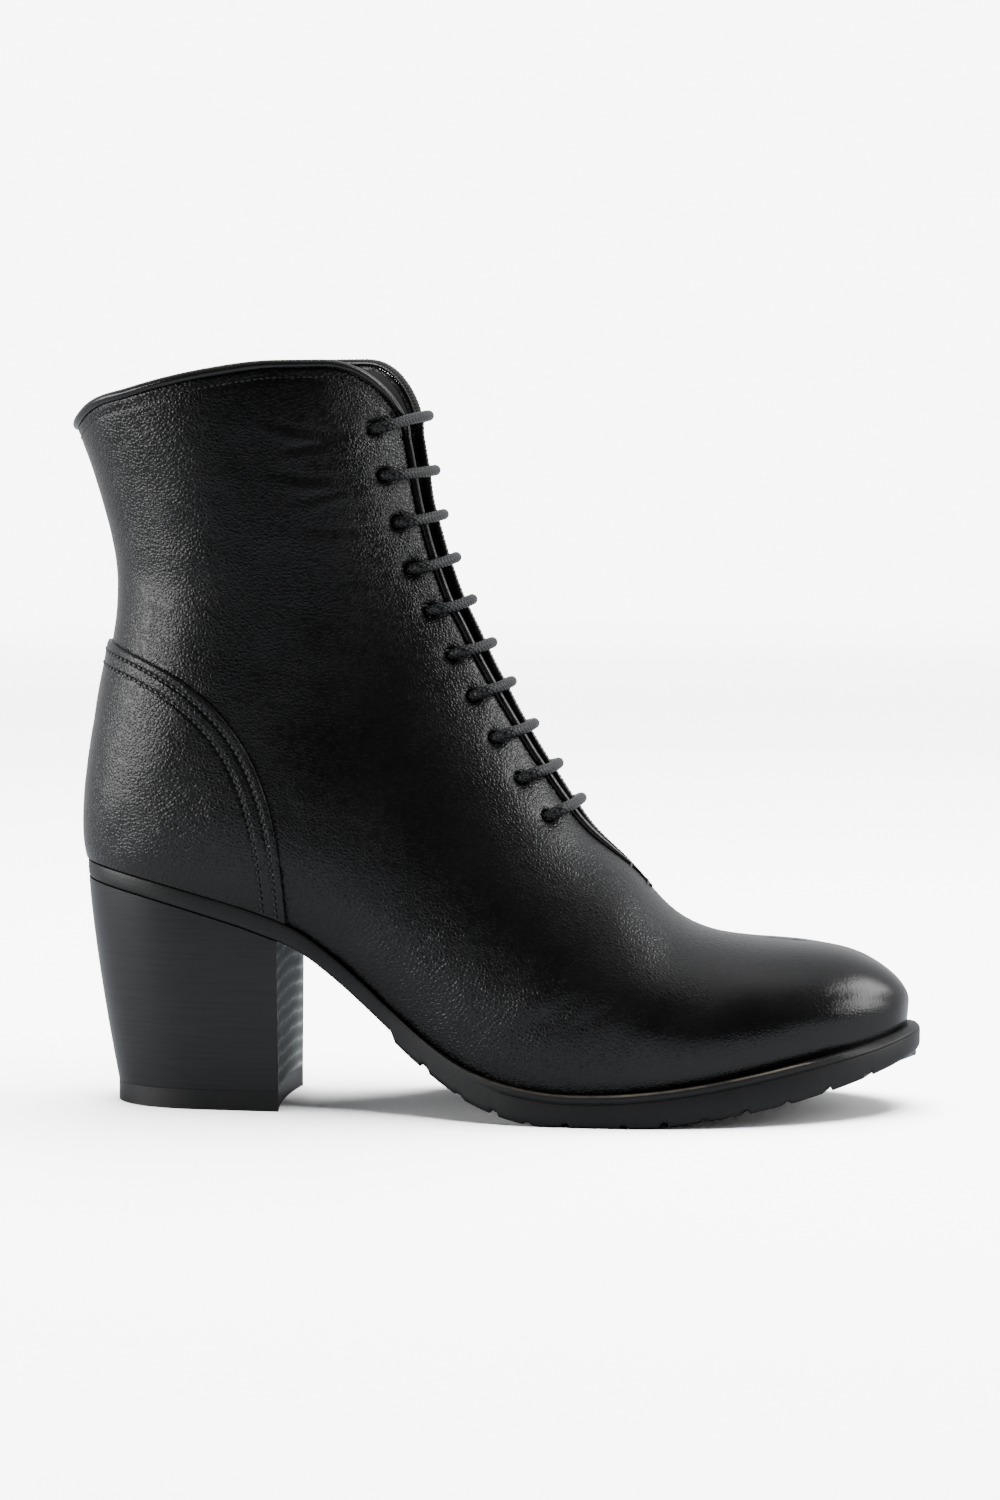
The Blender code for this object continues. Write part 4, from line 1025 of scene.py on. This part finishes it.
def acrossFront(at, reach, w, depth):
    # points on a line over the front at rows at: w from -1 to 1 runs from the outer to the inner
    # side, reach is how far w = 1 lies from the front line, depth how far behind the leather
    side = outer if w < 0.0 else inner
    share = fromFront(at, side, reach * abs(w))
    return onLast(at, share, side) - outOf(at, share, side) * depth


def makeTacks():
    # a few thicker threads laid across the end of the throat
    grids = []
    for row in tack["rows"]:
        line = [acrossFront(np.array([row + tack["skew"] * w]), tack["reach"], w,
                            -tack["lift"] * (1.0 - tack["dive"] * w**4))[0]
                for w in np.linspace(-1.0, 1.0, tack["steps"])]
        grids.append((tubeGrid(np.array(line), tack["radius"], tack["sides"]), False, True))
    pieceFrom("throat_tacks", grids, thread, weld=stitch["weld"])


makeCounter()
makeCounterStitches()
makeCollarStitches()
makeTacks()


# Lace

lace = {
    "radius": 1.55,
    "barSteps": 9,
    "barLift": 3.0,
    "liftRun": (-0.02, 0.16),  # share of a half bar over which it rises out of its hole
    "inHole": (-0.4, 0.12),  # lift and share of a step at which it leaves the hole
    "insideSteps": 7,
    "insideDepth": 4.0,
    "passBy": 3.7,  # an inside run keeps this far from the hole that it passes
    "bars": ((1, 3, 5, 7, 9), (2, 4, 6, 8)),  # that each half of the cord crosses after the lowest one
    "step": 0.7,
    "softenings": 5,
    "sides": 16,
    "poleWeld": 0.002,
}


def barPoints(number):
    # centre line of one bar from the outer hole over the front to the inner hole
    row, setback, barRise = laceHoles["holes"][number]
    part = np.linspace(0.0, 1.0, lace["barSteps"])
    at = row + barRise * (1.0 - (1.0 - part) ** 2)
    lift = lace["barLift"] * smoothStep(part, *lace["liftRun"])
    lift[0] = lace["inHole"][0]
    halves = {}
    for side in (outer, inner):
        start = fromFront(np.array([row]), side, setback)
        share = start + (1.0 - start) * part
        point = onLast(at, share, side)
        halves[side] = point + outOf(at, share, side) * lift[:, None]
        halves[side][0] += (point[1] - point[0]) * lace["inHole"][1]
    return np.concatenate([halves[outer], halves[inner][-2::-1]])


def insideRun(low, high, side, sideways):
    # stretch behind the wall from one hole up to a higher one, past any hole between them
    t = np.linspace(0.0, 1.0, lace["insideSteps"])
    at, setback = (v[low] + t * (v[high] - v[low]) for v in (holeAt["row"], holeAt["setback"]))
    share = fromFront(at, side, setback + sideways * np.sin(math.pi * t))
    return onLast(at, share, side) - outOf(at, share, side) * lace["insideDepth"]


def laceRoute():
    # straight lacing with one cord: from the middle of the lowest bar each half climbs inside to
    # its next bar, two holes up after the first, and ends behind a top hole
    def half(firstSide, bars):
        side, previous, points = firstSide, 0, []
        for bar in bars:
            aside = -firstSide * lace["passBy"] if bar - previous > 1 else 0.0
            points.append(insideRun(previous, bar, side, aside))
            points.append(barPoints(bar)[::-side])
            side, previous = -side, bar
        return points, side, previous

    left, endSide, top = half(outer, lace["bars"][0])
    tail = insideRun(top, top, endSide, 0.0)[:1]
    right, otherSide, otherTop = half(inner, lace["bars"][1])
    otherTail = insideRun(otherTop, top, otherSide, -lace["passBy"])[:-2]
    down = [tail] + [block[::-1] for block in left[::-1]]
    return np.concatenate(down + [barPoints(0)] + right + [otherTail])


def makeLace():
    # the route rounded off by averaging, then a round cord carried along it
    route = evenPath(laceRoute(), lace["step"])[0]
    soften(route, lace["softenings"])
    route, at = evenPath(route, lace["step"])
    sides = lace["sides"]
    bars = [f"lace_bar_{k + 1:02d}" for k in range(len(laceHoles["holes"]))]
    grid = tubeGrid(route, lace["radius"], sides)
    piece = pieceFrom("lace", [(grid, False, True)], lacing, bars, weld=0.0)
    # braid map in mm: along the cord and round it
    dome = len(tube["dome"])
    rows = np.concatenate([np.full(dome, at[0]), at, np.full(dome, at[-1])])
    girths = np.arange(sides + 1) / sides * 2.0 * math.pi * lace["radius"]
    u = np.stack([rows[:-1], rows[:-1], rows[1:], rows[1:]], axis=-1)[:, None]
    v = np.stack([girths[:-1], girths[1:], girths[1:], girths[:-1]], axis=-1)[None]
    uv = np.stack([u + 0.0 * v, v + 0.0 * u], axis=-1)
    layer = piece.data.uv_layers.new(name=braidMap["name"])
    layer.data.foreach_set("uv", uv.astype(np.float32).ravel())
    weldPoints(piece.data, lace["poleWeld"])
    print("lace", round(float(at[-1])), "mm long")


makeLace()


# Tongue and insole

tongue = {
    "rows": (6.1, 20.6, 120),
    "seat": (2.35, 6.4, 6.6, 8.2),  # depth behind the leather at its foot and above, rows between them
    "half": (12.0, 22.0, 6.0, 14.0),  # half width at its foot and above, rows between them
    "thick": 1.6,
    "edge": 0.5,  # share of the thickness that its edges lose
    "columns": 41,
}
insole = {"thick": 2.0, "inset": 6.6, "lift": 0.7, "cup": 0.6, "rows": 240, "columns": 15}


def makeTongue():
    # strip that follows the front line at a depth, wider upwards, closed round its edges
    at = np.linspace(*tongue["rows"])
    half, depth = (low + (high - low) * smoothStep(at, start, end)
                   for low, high, start, end in (tongue["half"], tongue["seat"]))
    across = np.linspace(-1.0, 1.0, tongue["columns"])
    front, back = ([acrossFront(at, half, w, (depth + thick * (1.0 - tongue["edge"] * w**6))[:, None])
                    for w in across] for thick in (0.0, tongue["thick"]))
    front, back = np.stack(front, axis=1), np.stack(back, axis=1)
    loop = np.concatenate([front, back[:, ::-1]], axis=1)
    ends = [(np.stack([front[k], back[k]]), k == 0, False) for k in (0, -1)]
    pieceFrom("tongue", [(loop, True, True)] + ends, upperLeather, ["tongue"], change=faceOut)


def footOutline(side, inset, at):
    # plan outline of the sole: the leather's foot line moved out by the ledge less the inset
    line = onLast(at, np.zeros(len(at)), side)[:, :2]
    run = np.gradient(line, axis=0)
    run[0], run[-1] = (0.0, side), (0.0, -side)
    run = unit(run)
    out = np.stack([-run[:, 1], run[:, 0]], axis=1) * -side
    return line + out * (alongSole(line[:, 0], "ledge") - inset)[:, None]


def footPlan(inset, at, columns):
    # plan grid from the outer outline to the inner one
    across = np.linspace(0.0, 1.0, columns)[None, :, None]
    edge = [footOutline(side, inset, at)[:, None] for side in (outer, inner)]
    return edge[0] * (1.0 - across) + edge[1] * across


def soleRows(count):
    # rows for walking round the sole, closer at the toe tip and at the heel
    tipRow, part = soleLine["tip"]
    toe = np.linspace(0.0, tipRow, count // part, endpoint=False)
    return np.concatenate([toe, np.linspace(tipRow, backRow, count - len(toe))])


def makeInsole():
    # sock lying on the sole, a little cupped, with a turned-down edge
    plan = footPlan(insole["inset"], soleRows(insole["rows"]), insole["columns"])
    base = alongSole(plan[..., 0], "top") + insole["lift"]
    cup = insole["cup"] * np.linspace(-1.0, 1.0, insole["columns"]) ** 4
    loop = np.concatenate([lifted(plan, base + insole["thick"] + cup), lifted(plan, base)[:, ::-1]], axis=1)
    pieceFrom("insole", [(loop, False, True)], liningLeather, ["insole"])


makeTongue()
makeInsole()


# Sole

sole = {
    "rows": 760,
    "tread": (-27.0, 0.4, 2.0),  # x where the rubber forepart starts, run and depth of its step
    "groovesX": (-19.0, -9.0, 1.0, 10.5, 21.0, 37.0, 48.0, 59.0, 70.0, 81.0, 92.0, 103.0),
    "grooveWidth": 2.6,
    "grooveDepth": (1.2, 0.7, 1.0, 0.6, 1.1, 0.8, 1.2, 0.6, 1.0, 0.7, 1.1, 0.8),
    "grooveWall": 0.5,
    "toeRound": (3.2, 90.0, 113.0),  # radius of the top edge round the toe, and where it sets in
    "chevron": (5.0, -24.0, -18.0),  # how far a groove leans forward at the middle, and where that sets in
    # inset, below the top, above the underside: from under the leather round to the tread
    "profile": (
        (8.0, 0.0, None), (2.0, 0.0, None), (0.7, 0.02, None), (0.3, 0.1, None), (0.08, 0.28, None),
        (0.0, 0.55, None), (0.0, 1.6, None), (0.1, 1.85, None), (0.32, 2.0, None), (0.34, 2.2, None),
        (0.12, 2.4, None), (0.05, 2.7, None), (0.05, None, 1.9), (0.1, None, 1.0), (0.3, None, 0.45),
        (0.6, None, 0.14), (1.1, None, 0.0),
    ),
    "weltGroove": 1.7,  # below the top; what lies lower belongs to the groove under the welt,
    "grooveFadeX": (-6.0, 12.0),  # which deepens from waist to forepart
    "treadColumns": 44,
    "sharp": 35.0,  # degrees between faces from which an edge shows
}
welt = {
    "rows": 520,
    # inset and rise of the worn rim's own profile
    "rim": ((0.9, -0.15), (0.75, 0.05), (0.35, 0.04), (0.12, -0.07), (-0.03, -0.3), (-0.02, -0.45),
            (0.2, -0.5)),
    "show": (-30.0, 8.0, 84.0, 98.0),  # x over which it comes out of the sole and goes back in
    "sunk": (0.5, -0.15),  # how far it sinks there, and the rise above which it does
}


def soleUnder(x):
    # underside with the step of the rubber forepart and its cross grooves
    start, run, depth = sole["tread"]
    height = alongSole(x, "under") - depth * smoothStep(x, start, start + run)
    width, wall = sole["grooveWidth"], sole["grooveWall"]
    for grooveX, depth in zip(sole["groovesX"], sole["grooveDepth"]):
        rise = smoothStep(x, grooveX, grooveX + wall)
        height = height + depth * (rise - smoothStep(x, grooveX + width - wall, grooveX + width))
    return np.maximum(height, 0.0)


def toeInset(x, belowTop):
    # quarter round of the sole's top edge, which sets in towards the toe
    radius, start, end = sole["toeRound"]
    below = min(belowTop, radius)
    return smoothStep(x, start, end) * (radius - math.sqrt(radius**2 - (radius - below) ** 2))


def makeSole():
    # profile carried round the outline, and a tread across the underside with chevron grooves
    at = soleRows(sole["rows"])
    grids = []
    for side in (outer, inner):
        rings = []
        line = footOutline(side, 0.0, at)[:, 0]
        forepart = smoothStep(line, *sole["grooveFadeX"])
        for inset, belowTop, aboveUnder in sole["profile"]:
            if belowTop is None:
                plan = footOutline(side, inset, at)
                height = soleUnder(plan[:, 0]) + aboveUnder
            else:
                deepens = forepart if belowTop > sole["weltGroove"] else 1.0
                plan = footOutline(side, np.maximum(inset * deepens, toeInset(line, belowTop)), at)
                height = alongSole(plan[:, 0], "top") - belowTop
            rings.append(lifted(plan, height))
        grids.append((np.stack(rings, axis=1), side == outer, False))
    plan = footPlan(sole["profile"][-1][0], at, sole["treadColumns"])
    lean, start, full = sole["chevron"]
    lean = lean * (1.0 - np.abs(np.linspace(-1.0, 1.0, sole["treadColumns"])))
    height = soleUnder(plan[..., 0] - lean * smoothStep(plan[..., 0], start, full))
    grids.append((lifted(plan, height), True, False))
    plan = footPlan(sole["profile"][0][0], at, 2)
    grids.append((lifted(plan, alongSole(plan[..., 0], "top")), False, False))
    pieceFrom("outsole", grids, soleRubber, ["outsole"], sharp=sole["sharp"])


def makeWelt():
    # rim along the top of the sole's edge, from the waist to where the toe rounds, coloured pale partly as
    # worn leather and partly as a painted highlight of the lit ledge
    grids = []
    at = soleRows(welt["rows"])
    start, full, fading, gone = welt["show"]
    sunk, above = welt["sunk"]
    for side in (outer, inner):
        x = footOutline(side, 0.0, at)[:, 0]
        show = smoothStep(x, start, full) * (1.0 - smoothStep(x, fading, gone))
        rings = []
        for inset, rise in welt["rim"]:
            plan = footOutline(side, inset, at)
            height = alongSole(plan[:, 0], "top") + rise - sunk * (1.0 - show) * (rise > above)
            rings.append(lifted(plan, height))
        grids.append((np.stack(rings, axis=1)[show > 0.0], side == outer, False))
    pieceFrom("welt_rim", grids, weltEdgeWearAndHighlight)


makeSole()
makeWelt()


# Heel

heel = {
    "breastX": -59.7,
    "backFootX": -108.9,
    "footHalf": 23.6,
    "backBow": 1.3,
    "breastHollow": 1.8,
    "hollowRun": 14.0,
    "topPiece": (5.6, 5.4, 0.25, 0.0),  # levels of the wearing piece, top to bottom
    "gap": 0.08,
    "inset": 0.2,
    "seatRows": (10.0, 500),  # first row and count of the seat's outline
    "levels": 40,
    "planSteps": 70,
    "breastSteps": 24,
}


def heelPlan(levelShare):
    # D-shaped plan at one level, from the back to the breast and across: the seat's outline drawn
    # in towards the foot, with a breast that is hollowed across
    firstRow, count = heel["seatRows"]
    at = np.linspace(firstRow, backRow, count)
    line = [footOutline(side, heel["inset"], at) for side in (outer, inner)]
    back = line[0][-1, 0]
    forward = 1.0 - np.cos(np.linspace(0.0, math.pi / 2.0, heel["planSteps"]))
    seatX = back + (heel["breastX"] - back) * forward
    footX = heel["backFootX"] + (heel["breastX"] - heel["backFootX"]) * forward
    edge = [np.interp(seatX, half[::-1, 0], half[::-1, 1])[:, None] for half in line]
    taper = levelShare ** heel["backBow"]
    narrow = 1.0 + taper * (heel["footHalf"] / np.max(np.abs(edge[0])) - 1.0)
    across = np.linspace(0.0, 1.0, heel["breastSteps"])[None, :]
    x = (seatX + taper * (footX - seatX))[:, None]
    hollow = heel["breastHollow"] * (1.0 - (2.0 * across - 1.0) ** 2)
    x = x - smoothStep(x, heel["breastX"] - heel["hollowRun"], heel["breastX"]) * hollow
    return np.stack([x, (edge[0] * (1.0 - across) + edge[1] * across) * narrow], axis=-1)


def heelPiece(name, layers, finish, replaced):
    # plans of the heel stacked by height: two walls, the breast, and a face above and below
    block = np.stack(layers)
    walls = [(block[:, :, 0], False, False), (block[:, :, -1], True, False), (block[:, -1], False, False)]
    faces = [(block[0], True, False), (block[-1], False, False)]
    pieceFrom(name, walls + faces, finish, [replaced], sharp=sole["sharp"], change=faceOut)


def makeHeel():
    layers = []
    for share in np.linspace(0.0, 1.0, heel["levels"]):
        plan = heelPlan(share)
        seat = alongSole(plan[..., 0], "under") - heel["gap"]
        layers.append(lifted(plan, seat + share * (heel["topPiece"][0] + heel["gap"] - seat)))
    heelPiece("heel_block", layers, heelStack, "heel_block")
    plan = heelPlan(1.0)
    layers = [lifted(plan, level + 0.0 * plan[..., 0]) for level in heel["topPiece"]]
    heelPiece("top_piece", layers, soleRubber, "top_piece")


makeHeel()


# Floor, light and camera

studio = {
    "floorRings": np.linspace(0.0, 9.0, 24)[1:],  # metres from the boot
    "floorSides": 96,
    "floorFade": (0.45, 2.6),  # metres from the boot at which the floor melts into the backdrop
    "mirrorFade": (0.3, 0.85),  # and at which its mirror image in the leather ends
    "floorTone": ("#fafafa", "#606265"),  # as the eye sees it, and as the leather mirrors it
    "backdrop": ("#ffffff", 8.0),
    "sweep": ("#f4f6fa", 1.1),  # lit sweep behind the boot, as the leather mirrors it
    "room": ("#38393b", 0.8),  # dim room on the camera's side
    "roomEdge": (-0.35, 0.1),  # share of the way back at which the room gives way to the sweep
    "camera": {"distance": 1.25, "turn": 6.0, "height": 0.2093, "pitch": 5.0, "lens": 107.1, "sensor": 36.0,
               "nearest": 0.05},
    # name, place, aim, size, watts, seen in gloss
    "lights": (
        ("left_box", (-1.2, -0.5, 0.28), (-0.05, 0.0, 0.1), (1.1, 0.5), 16.5, True),
        ("right_box", (1.22, 0.22, 0.78), (0.05, 0.0, 0.1), (0.6, 0.55), 9.0, True),
        ("toe_box", (0.45, -0.04, 0.12), (0.1, -0.01, 0.04), (0.13, 0.13), 0.42, True),
        ("top_box", (0.1, 0.25, 1.7), (0.0, 0.0, 0.05), (1.6, 1.6), 330.0, False),
    ),
}


def mixShaders(tree, share, first, second):
    return node(tree, "ShaderNodeMixShader", {0: share, 1: first, 2: second})


def makeFloor():
    # round pale sweep that fades into the backdrop
    turn = np.linspace(0.0, 2.0 * math.pi, studio["floorSides"], endpoint=False)
    ring = np.stack([np.cos(turn), np.sin(turn), 0.0 * turn], axis=1)
    grid = studio["floorRings"][:, None, None] * ring[None]
    mesh = bpy.data.meshes.new("floor")
    points = np.concatenate([[(0.0, 0.0, 0.0)], grid.reshape(-1, 3)])
    quads = gridFaces(grid.shape[:2], 1, True, True).tolist()
    fan = [(0, 1 + k, 1 + (k + 1) % len(turn)) for k in range(len(turn))]
    mesh.from_pydata(points.tolist(), [], quads + fan)
    finish, tree, shader = newFinish("pale_sweep", studio["floorTone"][0], 0.8, 1.5)
    plug(tree, shader, {"Specular IOR Level": 0.2})
    mirrored = node(tree, "ShaderNodeBsdfDiffuse", {"Color": linear(studio["floorTone"][1])})
    clear = node(tree, "ShaderNodeBsdfTransparent", {})
    far = node(tree, "ShaderNodeVectorMath", {0: objectPlace(tree)}, "Value", operation="LENGTH")
    ground = [mixShaders(tree, remap(tree, far, *studio[key], ease="SMOOTHSTEP"), lit, clear)
              for key, lit in (("mirrorFade", mirrored), ("floorFade", shader.outputs[0]))]
    seen = node(tree, "ShaderNodeLightPath", {}, "Is Camera Ray")
    plug(tree, tree.nodes["Material Output"], {"Surface": mixShaders(tree, seen, *ground)})
    mesh.materials.append(finish)
    floor = bpy.data.objects.new("floor", mesh)
    bpy.context.scene.collection.objects.link(floor)


def makeWorld():
    # the eye sees the pale backdrop; the leather mirrors a lit sweep behind and a dim room in front
    world = bpy.data.worlds.new("studio")
    world.use_nodes = True
    bpy.context.scene.world = world
    tree = world.node_tree
    tree.nodes.clear()
    tones = [studio[key] for key in ("room", "sweep", "backdrop")]
    room, sweep, backdrop = (node(tree, "ShaderNodeBackground", {"Color": linear(tone), "Strength": strength})
                             for tone, strength in tones)
    way = node(tree, "ShaderNodeTexCoord", {}, "Generated")
    back = node(tree, "ShaderNodeSeparateXYZ", {"Vector": way}, "Y")
    around = mixShaders(tree, remap(tree, back, *studio["roomEdge"], ease="SMOOTHSTEP"), room, sweep)
    seen = node(tree, "ShaderNodeLightPath", {}, "Is Camera Ray")
    node(tree, "ShaderNodeOutputWorld", {"Surface": mixShaders(tree, seen, around, backdrop)})


def makeLights():
    for name, place, target, size, watts, inGloss in studio["lights"]:
        lamp = bpy.data.lights.new(name, "AREA")
        lamp.shape = "RECTANGLE"
        lamp.size, lamp.size_y = size
        lamp.energy = watts
        item = bpy.data.objects.new(name, lamp)
        bpy.context.scene.collection.objects.link(item)
        item.location = place
        item.visible_glossy = inGloss
        item.rotation_euler = (Vector(target) - item.location).to_track_quat("-Z", "Y").to_euler()


def makeCamera():
    setting = studio["camera"]
    turn, pitch = math.radians(setting["turn"]), math.radians(setting["pitch"])
    lens = bpy.data.cameras.new("camera")
    lens.lens = setting["lens"]
    lens.sensor_width = setting["sensor"]
    lens.sensor_fit = "AUTO"
    lens.clip_start = setting["nearest"]
    camera = bpy.data.objects.new("camera", lens)
    camera.location = (setting["distance"] * math.sin(turn) + centreShift[0] * mm,
                       -setting["distance"] * math.cos(turn) + centreShift[1] * mm, setting["height"])
    camera.rotation_euler = (math.pi / 2.0 - pitch, 0.0, turn)
    bpy.context.scene.collection.objects.link(camera)
    bpy.context.scene.camera = camera


makeFloor()
makeWorld()
makeLights()
makeCamera()
print("studio ready")
